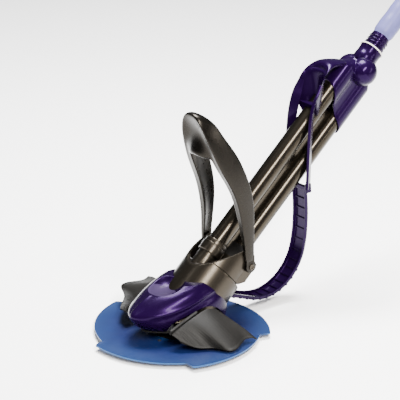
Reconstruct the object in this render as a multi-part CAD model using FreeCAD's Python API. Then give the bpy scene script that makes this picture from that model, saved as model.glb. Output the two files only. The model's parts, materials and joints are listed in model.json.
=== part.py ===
import FreeCAD, Part
import math
import os
from FreeCAD import Vector as V

# Suction pool cleaner. Millimetres and degrees, +Z up.
# The origin is on the turning disc's axis at floor level. The nose points to -Y,
# the two suction tubes lean back towards +Y, and the object is symmetric about X = 0
# except that the left wing rests higher than the right one.
#
# The tubes have their own frame (x, q, s): s runs up along the tubes from the origin,
# q runs square to them towards the underside. lean() turns that frame into the part's.

# ---------------------------------------------------------------- driving dimensions
TILT = 40.75              # the tubes' angle above the floor
TUBE_R = 23.0             # outside radius of both suction tubes
TUBE_WALL = 2.5
FRONT_Q = -72.5           # front tube's axis
REAR_Q = -5.0              # rear tube's axis
TOP_Q = -38.0             # swivel and hose axis
TUBE_TOP_S = 739.0        # where both tubes end, inside the manifold

DISC_R_SMALL = 189.0      # disc radius just after each step
DISC_R_LARGE = 211.0      # disc radius at each step
DISC_LOBES = 5
DISC_FIRST_STEP = -30.0   # angle of one step, from +X
DISC_Z = 10.3             # underside of the disc
DISC_THICK = 3.5
FIN_COUNT = 10
FIN_OUTER = 164.0         # distance of each fin's far end from the axis
FIN_HALF_WIDTH = 2.5

THROAT_R = 32.0           # outside radius of the suction throat
THROAT_BORE = 26.0
FOOT_TOP = 9.0
FOOT_R = 72.0             # radius of the foot pad's two round ends
FOOT_CENTRE_Y = 26.0      # where those ends are centred
RUN_GAP = 0.1             # radial clearance of a turning fit
CLEAR = 0.3               # gap between bodies that move past each other

BODY_FLOOR = 36.0         # underside of the chassis tray
TRAY_TOP = 42.0
WALL = 3.0                # moulded shell thickness
BARREL_R = 71.0
BARREL_Q = -31.0
BARREL_SEAM_S = 161.0     # seam between front barrel and rear housing
RIM_FRONT_S = 132.0       # the barrel's front lip
RIM_SLOPE = 1.87          # rise of the barrel's rim in s for each mm of q

COLLAR_S = 177.0          # lower edge of the twist collar
COLLAR_R = 28.0
COLLAR_LENGTH = 36.0
SLEEVE_R = 24.0

SHROUD_R = 27.0
SHROUD_TOP_S = 733.0
SHROUD_SEAM_S = 660.0     # seam at the front tube
SHROUD_SEAM_SLOPE = -0.6

DOME_R = 33.0
DOME_X = 20.0
DOME_S = 756.0
NECK_R = 28.5
NECK_TOP_S = 820.0
JOURNAL_R = 22.0

HOSE_START_S = 856.0
HOSE_LENGTH = 326.0
HOSE_R = 26.0
HOSE_BORE_R = 20.0
CUFF_BORE_R = 19.0

PIVOT_Y = 150.0           # handle pivot
PIVOT_Z = 149.0
PIN_R = 5.0
CHEEK_X = 70.0            # outer face of the rear housing's cheeks
LEG_X = 71.5              # inner face of the handle's feet

BAND_WIDTH = 46.0
BAND_THICK = 9.0
ARM_WIDTH = 26.0
ARM_THICK = 6.0
ARM_TURN = 28.0           # the arms' strips converge to the rear by this angle

os.makedirs("parts", exist_ok=True)

# ---------------------------------------------------------------- helpers
LEAN = FreeCAD.Placement(V(0, 0, 0), FreeCAD.Rotation(V(1, 0, 0), TILT - 90.0))
COS_T = math.cos(math.radians(TILT))
SIN_T = math.sin(math.radians(TILT))


def lean(shape):
    """Turn a shape from the tube frame (x, q, s) into the part's frame."""
    out = shape.copy()
    out.Placement = LEAN.multiply(out.Placement)
    return out


def at(s, q, x=0.0):
    """The point in the part's frame at (x, q, s) of the tube frame."""
    return V(x, s * COS_T + q * SIN_T, s * SIN_T - q * COS_T)


def rod(radius, s0, s1, q=0.0, x=0.0):
    return Part.makeCylinder(radius, s1 - s0, V(x, q, s0))


def pipe(r_out, r_in, s0, s1, q=0.0, x=0.0):
    return rod(r_out, s0, s1, q, x).cut(rod(r_in, s0 - 1.0, s1 + 1.0, q, x))


def cone(r0, r1, s0, s1, q=0.0):
    return Part.makeCone(r0, r1, s1 - s0, V(0, q, s0))


def turned(profile, q=0.0):
    """Revolve a closed (radius, height) profile about the upright axis at q."""
    wire = Part.makePolygon([V(r, 0, h) for r, h in profile + profile[:1]])
    solid = Part.Face(wire).revolve(V(0, 0, 0), V(0, 0, 1), 360)
    solid.translate(V(0, q, 0))
    return solid


def box(x0, x1, y0, y1, z0, z1):
    return Part.makeBox(x1 - x0, y1 - y0, z1 - z0, V(x0, y0, z0))


def plate(points, x0, x1):
    """A flat plate between x0 and x1 with its outline given as (y, z) points."""
    wire = Part.makePolygon([V(x0, y, z) for y, z in points + points[:1]])
    return Part.Face(wire).extrude(V(x1 - x0, 0, 0))


def mirrored(shape):
    return shape.mirror(V(0, 0, 0), V(1, 0, 0))


def fused(shapes):
    out = shapes[0]
    for shape in shapes[1:]:
        out = out.fuse(shape)
    return out.removeSplitter()


def group(shapes):
    return Part.Compound(shapes)


def export(name, shape):
    shape.exportStep("parts/" + name + ".step")
    solids = shape.Solids
    volume = sum(solid.Volume for solid in solids) / 1000.0
    print(f"{name:24s} solids {len(solids):2d}  {volume:9.2f} cm3  valid {shape.isValid()}")


# ---------------------------------------------------------------- foot and disc
def foot_pad():
    """The shoe that stands on the floor, with water channels to the throat."""
    plan = fused([
        Part.makeCylinder(FOOT_R, FOOT_TOP, V(0, -FOOT_CENTRE_Y, 0)),
        Part.makeCylinder(FOOT_R, FOOT_TOP, V(0, FOOT_CENTRE_Y, 0)),
        box(-FOOT_R, FOOT_R, -FOOT_CENTRE_Y, FOOT_CENTRE_Y, 0, FOOT_TOP),
    ])
    pad = plan.cut(Part.makeCylinder(THROAT_BORE, 30, V(0, 0, -10)))
    channel = box(THROAT_BORE - 2.0, 120, -4.5, 4.5, -1, 3.5)
    for step in range(4):
        cut = channel.copy()
        cut.rotate(V(0, 0, 0), V(0, 0, 1), 90.0 * step + 45.0)
        pad = pad.cut(cut)
    return pad


def throat_tube():
    """The suction throat between the foot pad and the tray."""
    return pipe(THROAT_R, THROAT_BORE, FOOT_TOP, TRAY_TOP)


def lobe_radius(share):
    """Disc radius along a lobe, from 0 just after a step to 1 at the next step."""
    return DISC_R_SMALL + (DISC_R_LARGE - DISC_R_SMALL) * share ** 0.56


def disc_outline():
    """Five spiral lobes, each ending in a short step inwards."""
    lobe = 360.0 / DISC_LOBES
    step_width = 4.0
    edges = []
    first = None
    last = None
    for index in range(DISC_LOBES):
        start = DISC_FIRST_STEP + index * lobe + step_width
        points = []
        for share in (0.0, 0.25, 0.5, 0.75, 1.0):
            angle = math.radians(start + (lobe - step_width) * share)
            radius = lobe_radius(share)
            points.append(V(radius * math.cos(angle), radius * math.sin(angle), DISC_Z))
        curve = Part.BSplineCurve()
        curve.interpolate(points)
        if last is not None:
            edges.append(Part.makeLine(last, points[0]))
        else:
            first = points[0]
        edges.append(curve.toShape())
        last = points[-1]
    edges.append(Part.makeLine(last, first))
    return Part.Wire(edges)


HUB_R = 62.0


def sealing_disc():
    """The soft disc, with its small lifting hole."""
    disc = Part.Face(disc_outline()).extrude(V(0, 0, DISC_THICK))
    disc = disc.cut(Part.makeCylinder(HUB_R, 20, V(0, 0, DISC_Z - 5)))
    hole_radius = 2.5
    hole_place = V(25.0, -78.0, DISC_Z)
    boss = Part.makeCylinder(6.0, DISC_THICK + 1.6, hole_place)
    disc = disc.fuse(boss)
    return disc.cut(Part.makeCylinder(hole_radius, 12, hole_place - V(0, 0, 3)))


def disc_fins():
    """Radial fins under the disc, clear of the foot pad as they turn round it."""
    fin_inner = FOOT_CENTRE_Y + FOOT_R + 2.0
    fin = box(fin_inner, FIN_OUTER, -FIN_HALF_WIDTH, FIN_HALF_WIDTH, 0.0, DISC_Z)
    fins = []
    for index in range(FIN_COUNT):
        copy = fin.copy()
        copy.rotate(V(0, 0, 0), V(0, 0, 1), 360.0 / FIN_COUNT * (index + 0.5))
        fins.append(copy)
    return group(fins)


def disc_hub():
    """Stiff hub that carries the disc and turns on the throat."""
    bore = THROAT_R + RUN_GAP
    low = FOOT_TOP + CLEAR
    top = 23.7
    return turned([
        (bore, low), (HUB_R, low), (HUB_R, DISC_Z + DISC_THICK), (HUB_R + 4.0, DISC_Z + DISC_THICK),
        (HUB_R + 2.0, DISC_Z + DISC_THICK + 2.5), (46.0, 18.5), (44.0, top), (bore, top),
    ])


def disc_retainer():
    return pipe(43.0, THROAT_R, 24.0, 28.0)


# ---------------------------------------------------------------- chassis and hood
WIDEST_SHARE = 0.6           # where the hood is widest, from front to rear
FRONT_POWER = 1.15           # above 1 is more pointed than an ellipse
REAR_POWER = 0.6             # below 1 is squarer than an ellipse
HOOD_SECTIONS = [
    # height, half width, front y, rear y
    (41.0, 75.0, -110.0, 104.0),
    (60.0, 79.0, -130.0, 106.0),
    (80.0, 80.0, -139.0, 103.0),
    (98.0, 77.0, -121.0, 96.0),
    (114.0, 71.0, -93.0, 82.0),
    (126.0, 63.0, -60.0, 62.0),
    (134.0, 54.0, -30.0, 44.0),
]


def oval(z, half_width, front, rear, inset=0.0):
    """A closed outline at height z, pointed in front and square behind."""
    widest = front + WIDEST_SHARE * (rear - front)
    half_width -= inset
    count = 24
    points = []
    for index in range(count):
        angle = 2.0 * math.pi * index / count
        c, s = math.cos(angle), math.sin(angle)
        if s < 0.0:
            x = half_width * math.copysign(abs(c) ** FRONT_POWER, c)
            y = widest - (widest - front - inset) * abs(s) ** FRONT_POWER
        else:
            x = half_width * math.copysign(abs(c) ** REAR_POWER, c)
            y = widest + (rear - inset - widest) * s ** REAR_POWER
        points.append(V(x, y, z))
    curve = Part.BSplineCurve()
    curve.interpolate(points, PeriodicFlag=True)
    return Part.Wire([curve.toShape()])


SCOOP_CENTRE = (0.0, -45.0, 152.0)
SCOOP_RADII = (50.0, 58.0, 40.0)


def scoop(grow):
    """The hollow in the hood's top, in front of the barrel."""
    stretch = FreeCAD.Matrix()
    stretch.scale(V(*[radius + grow for radius in SCOOP_RADII]))
    hollow = Part.makeSphere(1.0).transformGeometry(stretch)
    hollow.translate(V(*SCOOP_CENTRE))
    return hollow


def hood_form(inset):
    """The hood's envelope, shrunk by an inset."""
    wires = [oval(z, half, front, rear, inset) for z, half, front, rear in HOOD_SECTIONS]
    return Part.makeLoft(wires, True).cut(scoop(inset))


SCREW_PLACES = [(-42.0, -58.0), (42.0, -58.0), (-52.0, 62.0), (52.0, 62.0)]
SCREW_R = 2.0
SCREW_HEAD_R = 4.2
SCREW_LENGTH = 26.0


def chassis():
    """Dark tray under the hood, with a skirt around the disc hub."""
    z0, half, front, rear = HOOD_SECTIONS[0]
    tray = Part.Face(oval(BODY_FLOOR, half - 4.0, front + 4.0, rear - 4.0)).extrude(
        V(0, 0, TRAY_TOP - BODY_FLOOR))
    tray = tray.fuse(pipe(68.0, 62.0, 26.0, BODY_FLOOR))
    tray = tray.cut(Part.makeCylinder(THROAT_R, 40, V(0, 0, 20)))
    for x, y in SCREW_PLACES:
        tray = tray.cut(Part.makeCylinder(SCREW_R, 20, V(x, y, BODY_FLOOR - 2)))
        tray = tray.cut(Part.makeCylinder(SCREW_HEAD_R + CLEAR, 20, V(x, y, BODY_FLOOR - 20)))
    return tray


def chassis_screws():
    screws = []
    for x, y in SCREW_PLACES:
        head = Part.makeCylinder(SCREW_HEAD_R, 2.4, V(x, y, BODY_FLOOR - 2.4))
        shank = Part.makeCylinder(SCREW_R, SCREW_LENGTH, V(x, y, BODY_FLOOR))
        screws.append(head.fuse(shank))
    return group(screws)


def barrel_space(margin):
    """The leaning cylinder that the barrel fills, grown by a margin."""
    return lean(rod(BARREL_R + margin, -60, 320, BARREL_Q))


def front_hood():
    """Glossy hood shell around the nose, the barrel's foot and the wing arches."""
    shell = hood_form(0.0).cut(hood_form(WALL))
    floor_cut = box(-120, 120, -200, 200, 30, TRAY_TOP + 0.2)
    shell = shell.cut(floor_cut)
    shell = shell.cut(barrel_space(0.0).common(box(-120, 120, -200, 300, 84, 400)))
    shell = shell.cut(housing_form(-CLEAR).common(box(-120, 120, 0, 300, 110, 400)))
    shell = shell.cut(window_form(0.0))
    return shell.cut(clip_form(0.4))


def window_form(inset):
    """The scoop panel on the hood's front top."""
    plan = Part.Ellipse(V(0, 0, 0), 30.0 - inset, 24.0 - inset).toShape()
    prism = Part.Face(Part.Wire([plan])).extrude(V(0, 0, 90))
    prism.translate(V(0, -52.0, 96.0))
    return prism


def hood_window():
    """The panel that fills the scoop."""
    panel = hood_form(0.4).cut(hood_form(WALL)).common(window_form(0.3))
    panel = panel.cut(barrel_space(0.3))
    return panel


def hood_bosses():
    """Four posts for the screws that hold the hood to its tray."""
    bosses = []
    for x, y in SCREW_PLACES:
        post = Part.makeCylinder(6.0, 26.0, V(x, y, TRAY_TOP))
        bosses.append(post.cut(Part.makeCylinder(SCREW_R, 30.0, V(x, y, TRAY_TOP - 2))))
    return group(bosses)


def ballast_weight():
    """Cast weight that keeps the nose down."""
    slab = box(-56, 56, -122, -62, TRAY_TOP, 80.0)
    return slab.common(hood_form(WALL + 1.5)).cut(fused([
        Part.makeCylinder(8.0, 60, V(x, y, 30)) for x, y in SCREW_PLACES[:2]]))


# ---------------------------------------------------------------- barrel and rear housing
def rim_cutter():
    """Everything above the barrel's slanting rim, in the tube frame."""
    reach = 160.0
    lip_q = BARREL_Q - BARREL_R
    low = (lip_q - 40.0, RIM_FRONT_S - 40.0 * RIM_SLOPE)
    high = (lip_q + reach, RIM_FRONT_S + reach * RIM_SLOPE)
    outline = [low, high, (high[0], 700.0), (low[0] - 40, 700.0), (low[0] - 40, low[1])]
    wire = Part.makePolygon([V(-120, q, s) for q, s in outline + outline[:1]])
    return Part.Face(wire).extrude(V(240, 0, 0))


def lower_housing():
    """The brushed barrel: a leaning cylinder shell, cut open above."""
    shell = pipe(BARREL_R, BARREL_R - WALL, -40, BARREL_SEAM_S, BARREL_Q)
    shell = lean(shell.cut(rim_cutter()))
    shell = shell.cut(box(-120, 120, -300, 300, -200, 84.2))
    shell = shell.cut(box(-120, 120, 96, 400, -200, 112))
    return max(shell.Solids, key=lambda solid: solid.Volume)


# side view of the rear housing, from under the seam round to its rear top corner
CHEEK_OUTLINE = [(30.0, 111.0), (139.0, 111.0), (164.0, 134.0), (174.0, 144.0), (167.0, 158.0),
                 (157.0, 176.0), (150.0, 196.0), (30.0, 196.0)]


def housing_form(inset):
    """The rear housing's envelope: round in front, with flat cheeks behind."""
    radius = BARREL_R - inset
    half_width = CHEEK_X - inset
    top = 280.0
    form = fused([
        rod(radius, BARREL_SEAM_S, top, BARREL_Q),
        box(-half_width, half_width, BARREL_Q, 60.0, BARREL_SEAM_S, top)])
    return lean(form)


def rear_housing():
    """Dark rear housing: two cheeks, a back wall, and the rear tube's socket."""
    outer = housing_form(0.0).common(plate(CHEEK_OUTLINE, -120, 120)).cut(lean(rim_cutter()))
    wall = 4.0
    inner = [(20.0, 111.0 + wall), (137.0, 111.0 + wall), (162.0, 138.0), (169.0, 145.0),
             (162.0, 158.0), (152.0, 176.0), (146.0, 240.0), (20.0, 240.0)]
    solid = outer.cut(housing_form(wall).common(plate(inner, -120, 120)))
    window = plate([(140.0, 164.0), (200.0, 164.0), (200.0, 240.0), (140.0, 240.0)],
                   wall - CHEEK_X, CHEEK_X - wall)
    solid = solid.cut(window)
    socket_outer = lean(rod(SOCKET_R, SOCKET_S, FUNNEL_S, REAR_Q))
    socket_bore = lean(rod(TUBE_R - TUBE_WALL, 150.0, 230.0, REAR_Q))
    above_socket = lean(rod(SOCKET_R + CLEAR, FUNNEL_S, 320.0, REAR_Q))
    solid = solid.fuse(socket_outer).cut(socket_bore).cut(above_socket)
    for side in (-1, 1):
        hole = Part.makeCylinder(PIN_R, 40, V(side * 55, PIVOT_Y, PIVOT_Z), V(side, 0, 0))
        solid = solid.cut(hole)
    return solid.removeSplitter()


# ---------------------------------------------------------------- water path inside
ELBOW_TANGENT = 28.0
ELBOW_R = 26.5


def bend_path():
    """Upright from the throat, then an arc into the front tube's line."""
    corner_s = -FRONT_Q * SIN_T / COS_T
    corner = at(corner_s, FRONT_Q)
    turn = math.radians(90.0 - TILT)
    start = V(0, 0, TRAY_TOP)
    bend_start = corner - V(0, 0, ELBOW_TANGENT)
    bend_end = at(corner_s + ELBOW_TANGENT, FRONT_Q)
    radius = ELBOW_TANGENT / math.tan(turn / 2.0)
    centre = bend_start + V(0, radius, 0)
    middle = centre + V(0, -radius * math.cos(turn / 2.0), radius * math.sin(turn / 2.0))
    edges = [Part.makeLine(start, bend_start), Part.Arc(bend_start, middle, bend_end).toShape()]
    return Part.Wire(edges), corner_s + ELBOW_TANGENT


def intake_elbow():
    path, end_s = bend_path()
    outer = Part.Face(Part.Wire([Part.Circle(V(0, 0, TRAY_TOP), V(0, 0, 1), ELBOW_R).toShape()]))
    inner = Part.Face(Part.Wire([Part.Circle(V(0, 0, TRAY_TOP), V(0, 0, 1), ELBOW_R - 3.5).toShape()]))
    return path.makePipe(outer).cut(path.makePipe(inner)), end_s


CASSETTE_R = 26.5
CASSETTE_TOP_S = 135.0
CASSETTE_BORE = 23.5


def cassette_body(start_s):
    return pipe(CASSETTE_R, CASSETTE_BORE, start_s, CASSETTE_TOP_S, FRONT_Q)


def diaphragm(start_s):
    """Rubber tube whose lips snap shut and open with the flow."""
    top = CASSETTE_TOP_S - 6.0
    return turned([
        (17.0, top), (CASSETTE_BORE - 0.1, top), (CASSETTE_BORE - 0.1, top - 3.0),
        (19.5, top - 7.0), (18.5, start_s + 12.0), (11.0, start_s + 3.0), (9.0, start_s + 3.0),
        (16.0, start_s + 12.5), (17.0, top - 7.0)], FRONT_Q)


def diaphragm_ring():
    return pipe(CASSETTE_BORE - 0.1, 18.0, CASSETTE_TOP_S - 5.8, CASSETTE_TOP_S - 0.2, FRONT_Q)


def outlet_sleeve():
    """Sleeve above the cassette, with one flattened side."""
    sleeve = turned([
        (20.0, CASSETTE_TOP_S), (CASSETTE_R, CASSETTE_TOP_S), (CASSETTE_R, CASSETTE_TOP_S + 2.0),
        (SLEEVE_R, CASSETTE_TOP_S + 6.0), (SLEEVE_R, COLLAR_S + 3.0), (20.0, COLLAR_S + 3.0)],
        FRONT_Q)
    facet = box(-60, 60, FRONT_Q - 60.0, FRONT_Q - 22.5, 143.0, COLLAR_S - 1.0)
    facet.rotate(V(0, FRONT_Q, 0), V(0, 0, 1), -38.0)
    return sleeve.cut(facet)


def cassette_latch():
    """Small dark latch beside the sleeve."""
    block = box(-6.0, 6.0, FRONT_Q - 30.0, FRONT_Q - 19.0, 145.0, 158.0)
    block.rotate(V(0, FRONT_Q, 0), V(0, 0, 1), 62.0)
    return block.cut(rod(SLEEVE_R + 0.05, 130, 190, FRONT_Q))


def lock_collar():
    """Twist collar that holds the front tube to the sleeve."""
    step = COLLAR_S + 7.0
    top = COLLAR_S + COLLAR_LENGTH
    collar = turned([
        (SLEEVE_R + CLEAR, COLLAR_S), (COLLAR_R, COLLAR_S), (COLLAR_R, top - 9.0),
        (COLLAR_R - 1.5, top - 8.0), (COLLAR_R - 1.5, top - 1.0), (COLLAR_R - 2.5, top),
        (TUBE_R + RUN_GAP, top), (TUBE_R + RUN_GAP, step), (SLEEVE_R + CLEAR, step)], FRONT_Q)
    return collar


def suction_tube(s0, q):
    return pipe(TUBE_R, TUBE_R - TUBE_WALL, s0, TUBE_TOP_S, q)


WEB_THICK = 4.0
WEB_START_S = 217.0


def tube_web():
    """Thin wall that joins the two tubes side to side."""
    web = box(-WEB_THICK / 2, WEB_THICK / 2, FRONT_Q + 15.0, REAR_Q - 15.0, WEB_START_S,
              SHROUD_SEAM_S - 30.0)
    for q in (FRONT_Q, REAR_Q):
        web = web.cut(rod(TUBE_R, WEB_START_S - 5.0, SHROUD_SEAM_S, q))
    return web.cut(rod(SOCKET_R, WEB_START_S - 5.0, REAR_TUBE_S + 13.0, REAR_Q))


SOCKET_R = 30.0
SOCKET_S = 172.0
FUNNEL_S = 209.0
REAR_TUBE_S = 234.0


def rear_funnel():
    """Cone between the rear housing's socket and the rear tube."""
    bore = TUBE_R - TUBE_WALL
    funnel = turned([
        (bore, FUNNEL_S), (SOCKET_R, FUNNEL_S), (SOCKET_R, FUNNEL_S + 4.0), (25.5, REAR_TUBE_S),
        (25.5, REAR_TUBE_S + 12.0), (TUBE_R, REAR_TUBE_S + 12.0), (TUBE_R, REAR_TUBE_S),
        (bore, REAR_TUBE_S)], REAR_Q)
    return funnel.cut(flap_pin_form())


FLAP_S = 223.3
FLAP_R = 17.0
FLAP_THICK = 2.0
HINGE_Q = REAR_Q - 17.0
HINGE_S = FLAP_S + 2.0


def flap_pin_form():
    return Part.makeCylinder(1.0, 25.0, V(-12.5, HINGE_Q, HINGE_S), V(1, 0, 0))


def bypass_seat():
    seat = pipe(TUBE_R - TUBE_WALL, 15.0, FLAP_S - CLEAR - 3.0, FLAP_S - CLEAR, REAR_Q)
    return seat


def bypass_flap():
    """Flap that gravity shuts and suction lifts."""
    disc = rod(FLAP_R, FLAP_S, FLAP_S + FLAP_THICK, REAR_Q)
    disc = disc.common(box(-30, 30, HINGE_Q + 1.5, 60, 180, 280))
    barrel = Part.makeCylinder(2.0, 14.0, V(-7, HINGE_Q, HINGE_S), V(1, 0, 0))
    web = box(-7, 7, HINGE_Q, HINGE_Q + 4.0, FLAP_S, FLAP_S + FLAP_THICK)
    flap = fused([disc, barrel, web])
    bore = Part.makeCylinder(1.05, 30.0, V(-15, HINGE_Q, HINGE_S), V(1, 0, 0))
    return flap.cut(bore)


# ---------------------------------------------------------------- top of the tubes
def lobes(radius, waist, s0, s1):
    """Two round lobes about the tubes, joined by a narrower waist."""
    return fused([
        rod(radius, s0, s1, FRONT_Q), rod(radius, s0, s1, REAR_Q),
        box(-waist, waist, FRONT_Q, REAR_Q, s0, s1)])


def seam_cutter(offset):
    """Everything below the shroud's slanting seam, in the tube frame."""
    def seam(q):
        return SHROUD_SEAM_S + offset + SHROUD_SEAM_SLOPE * (q - FRONT_Q)
    wire = Part.makePolygon([
        V(-60, -120, seam(-120)), V(-60, 80, seam(80)), V(-60, 80, 400), V(-60, -120, 400),
        V(-60, -120, seam(-120))])
    return Part.Face(wire).extrude(V(120, 0, 0))


def top_shroud():
    """Glossy shroud around both tubes, with a slanting lower edge."""
    body = lobes(SHROUD_R, 23.0, 560.0, SHROUD_TOP_S).cut(seam_cutter(0.0))
    cavity = lobes(SHROUD_R - WALL, 20.0, 560.0, SHROUD_TOP_S - WALL).cut(seam_cutter(5.0))
    tubes = fused([rod(TUBE_R, 500, 800, FRONT_Q), rod(TUBE_R, 500, 800, REAR_Q)])
    body = body.cut(cavity).cut(tubes)
    return body


def float_foam():
    """Closed-cell float between the tubes, under the shroud."""
    gap_low = FRONT_Q + TUBE_R
    gap_high = REAR_Q - TUBE_R
    return box(-18.0, 18.0, gap_low + 0.5, gap_high - 0.5, 666.0, 726.0)


def domes(radius):
    return fused([
        Part.makeSphere(radius, V(-DOME_X, TOP_Q, DOME_S)),
        Part.makeSphere(radius, V(DOME_X, TOP_Q, DOME_S))])


def stadium_wire(radius, s):
    """A long rounded outline about both tubes at height s."""
    low = V(0, FRONT_Q, s)
    high = V(0, REAR_Q, s)
    side = V(radius, 0, 0)
    edges = [
        Part.makeLine(low + side, high + side),
        Part.Arc(high + side, high + V(0, radius, 0), high - side).toShape(),
        Part.makeLine(high - side, low - side),
        Part.Arc(low - side, low - V(0, radius, 0), low + side).toShape()]
    return Part.Wire(edges)


def shoulder(radius, shrink, s0, s1):
    """The manifold's base, narrowing from the shroud to the domes."""
    rise = s1 - s0
    low = Part.Face(stadium_wire(radius, s0)).extrude(V(0, 0, rise))
    limit = cone(75.0 - shrink, 30.0 - shrink, s0, s1, TOP_Q)
    return low.common(limit)


def manifold():
    """Two domes where the tubes' flows meet, below the swivel neck."""
    outside = fused([shoulder(28.0, 0.0, SHROUD_TOP_S, 766.0), domes(DOME_R)])
    outside = outside.cut(box(-80, 80, -120, 80, 600, SHROUD_TOP_S))
    recess = Part.makeSphere(11.0, V(0, TOP_Q - DOME_R + 1.0, DOME_S + 14.0))
    outside = outside.cut(recess)
    inside = fused([
        shoulder(25.0, 3.0, SHROUD_TOP_S + WALL, 762.0), domes(DOME_R - WALL)])
    inside = inside.cut(box(-80, 80, -120, 80, 600, SHROUD_TOP_S + WALL))
    inside = inside.cut(Part.makeSphere(14.0, V(0, TOP_Q - DOME_R + 1.0, DOME_S + 14.0)))
    body = outside.cut(inside)
    tubes = fused([rod(TUBE_R, 500, TUBE_TOP_S, FRONT_Q), rod(TUBE_R, 500, TUBE_TOP_S, REAR_Q)])
    return body.cut(tubes).cut(rod(JOURNAL_R, DOME_S, 900, TOP_Q))


def neck_sleeve():
    neck = pipe(NECK_R, NECK_R - 4.0, 769.0, NECK_TOP_S, TOP_Q)
    return max(neck.cut(domes(DOME_R)).Solids, key=lambda solid: solid.Volume)


def swivel_bearing():
    return pipe(NECK_R - 4.0, JOURNAL_R + RUN_GAP, 796.0, 817.0, TOP_Q)


def swivel_seal():
    return pipe(NECK_R - 4.0, JOURNAL_R + RUN_GAP, 791.5, 795.8, TOP_Q)


def retaining_ring():
    return pipe(31.0, NECK_R, 815.5, NECK_TOP_S + 0.2, TOP_Q)


def hose_connector():
    """Ribbed connector: a journal in the neck below, a hose spigot above."""
    flange = NECK_TOP_S + 0.2 + CLEAR
    profile = [(18.0, 793.0), (JOURNAL_R, 793.0), (JOURNAL_R, flange), (27.0, flange),
               (27.0, flange + 3.5), (23.5, flange + 4.5)]
    rib = flange + 8.0
    for index in range(3):
        base = rib + 8.5 * index
        profile += [(23.5, base), (25.2, base + 0.8), (25.2, base + 3.2), (23.5, base + 4.0)]
    profile += [(23.5, HOSE_START_S), (HOSE_BORE_R, HOSE_START_S), (HOSE_BORE_R, 899.0),
                (HOSE_BORE_R - 1.0, 900.0), (18.0, 900.0)]
    return turned(profile, TOP_Q)


def hose():
    end = HOSE_START_S + HOSE_LENGTH
    tube = pipe(HOSE_R, HOSE_BORE_R, HOSE_START_S, end, TOP_Q)
    section = math.pi * (HOSE_R ** 2 - HOSE_BORE_R ** 2)
    print(f"hose: one straight run of {HOSE_LENGTH:.0f} mm, no bends;",
          f"volume over section times length {tube.Volume / (section * HOSE_LENGTH):.4f}")
    return tube


def hose_far_cuff():
    """Push-on cuff at the hose's far end."""
    end = HOSE_START_S + HOSE_LENGTH
    return turned([
        (HOSE_R, end - 14.0), (28.5, end - 14.0), (29.5, end - 12.0), (29.5, end + 6.0),
        (28.0, end + 10.0), (28.0, end + 36.0), (29.0, end + 38.0), (29.0, end + 42.0),
        (CUFF_BORE_R, end + 42.0), (CUFF_BORE_R, end), (HOSE_R, end)], TOP_Q)


# ---------------------------------------------------------------- bumper strap
def rounded_path(points):
    """Straight runs in the plane X = 0, joined by arcs as large as the runs allow."""
    stations = [V(0, y, z) for y, z in points]
    edges = []
    start = stations[0]
    for before, corner, after in zip(stations, stations[1:], stations[2:]):
        back = (before - corner).normalize()
        ahead = (after - corner).normalize()
        reach = 0.45 * min((before - corner).Length, (after - corner).Length)
        first = corner + back * reach
        last = corner + ahead * reach
        half_turn = 0.5 * (math.pi - back.getAngle(ahead))
        radius = reach / math.tan(half_turn)
        inward = (back + ahead).normalize()
        centre_gap = math.hypot(reach, radius)
        middle = corner + inward * (centre_gap - radius)
        edges.append(Part.makeLine(start, first))
        edges.append(Part.Arc(first, middle, last).toShape())
        start = last
    edges.append(Part.makeLine(start, stations[-1]))
    return Part.Wire(edges)


BAND_ROUTE = [(367.0, 268.0), (376.0, 190.0), (364.0, 96.0), (318.0, 40.0), (246.0, 21.0),
              (176.0, 46.0), (110.0, 68.0)]


def swept_strip(path, start, width, thick, shift=0.0):
    """A flat strip swept along a path that starts straight down at start."""
    edge = path.Edges[0]
    direction = (edge.Vertexes[1].Point - edge.Vertexes[0].Point).normalize()
    across = V(1, 0, 0)
    out = direction.cross(across).normalize()
    centre = start + out * shift
    corners = [
        centre + across * (width / 2) + out * (thick / 2),
        centre - across * (width / 2) + out * (thick / 2),
        centre - across * (width / 2) - out * (thick / 2),
        centre + across * (width / 2) - out * (thick / 2)]
    wire = Part.makePolygon(corners + corners[:1])
    return path.makePipe(Part.Face(wire))


def strap_band():
    """Channel-section band below the tubes, open on its outer side."""
    path = rounded_path(BAND_ROUTE)
    start = V(0, *BAND_ROUTE[0])
    band = swept_strip(path, start, BAND_WIDTH, BAND_THICK)
    channel = swept_strip(path, start, BAND_WIDTH - 10.0, BAND_THICK, 3.0)
    return band.cut(channel)


def strip_loft(stations):
    """Loft rectangles given as (centre, across, out, width, thick)."""
    wires = []
    for centre, across, out, width, thick in stations:
        a = across.normalize() * (width / 2)
        o = out.normalize() * (thick / 2)
        corners = [centre + a + o, centre - a + o, centre - a - o, centre + a - o]
        wires.append(Part.makePolygon(corners + corners[:1]))
    return Part.makeLoft(wires, True)


ARM_ROUTE = [
    # x, y, z of the strip's middle line, from the hood down to the junction
    (26.0, 398.0, 522.0), (28.5, 383.0, 488.0), (31.5, 372.0, 450.0), (33.0, 368.0, 405.0),
    (33.0, 366.0, 350.0), (30.0, 366.0, 305.0), (25.0, 367.0, 278.0)]


def strap_arm():
    turn = math.radians(ARM_TURN)
    stations = []
    for x, y, z in ARM_ROUTE:
        across = V(math.sin(turn), -math.cos(turn), 0)
        out = V(math.cos(turn), math.sin(turn), 0)
        stations.append((V(x, y, z), across, out, ARM_WIDTH, ARM_THICK))
    return strip_loft(stations)


def strap_junction():
    """Block that joins both arms to the band."""
    width = 66.0
    return box(-width / 2, width / 2, 354.0, 381.0, 268.0, 277.8)


HOOD_ROUTE = [
    # y, z, half width, half thickness, and the direction that the section faces
    (506.0, 552.0, 13.0, 6.0, 14.0), (470.0, 559.0, 18.0, 7.0, 2.0),
    (436.0, 557.0, 25.0, 8.0, -18.0), (409.0, 542.0, 31.0, 8.0, -42.0),
    (396.0, 520.0, 35.0, 8.0, -66.0)]


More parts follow.
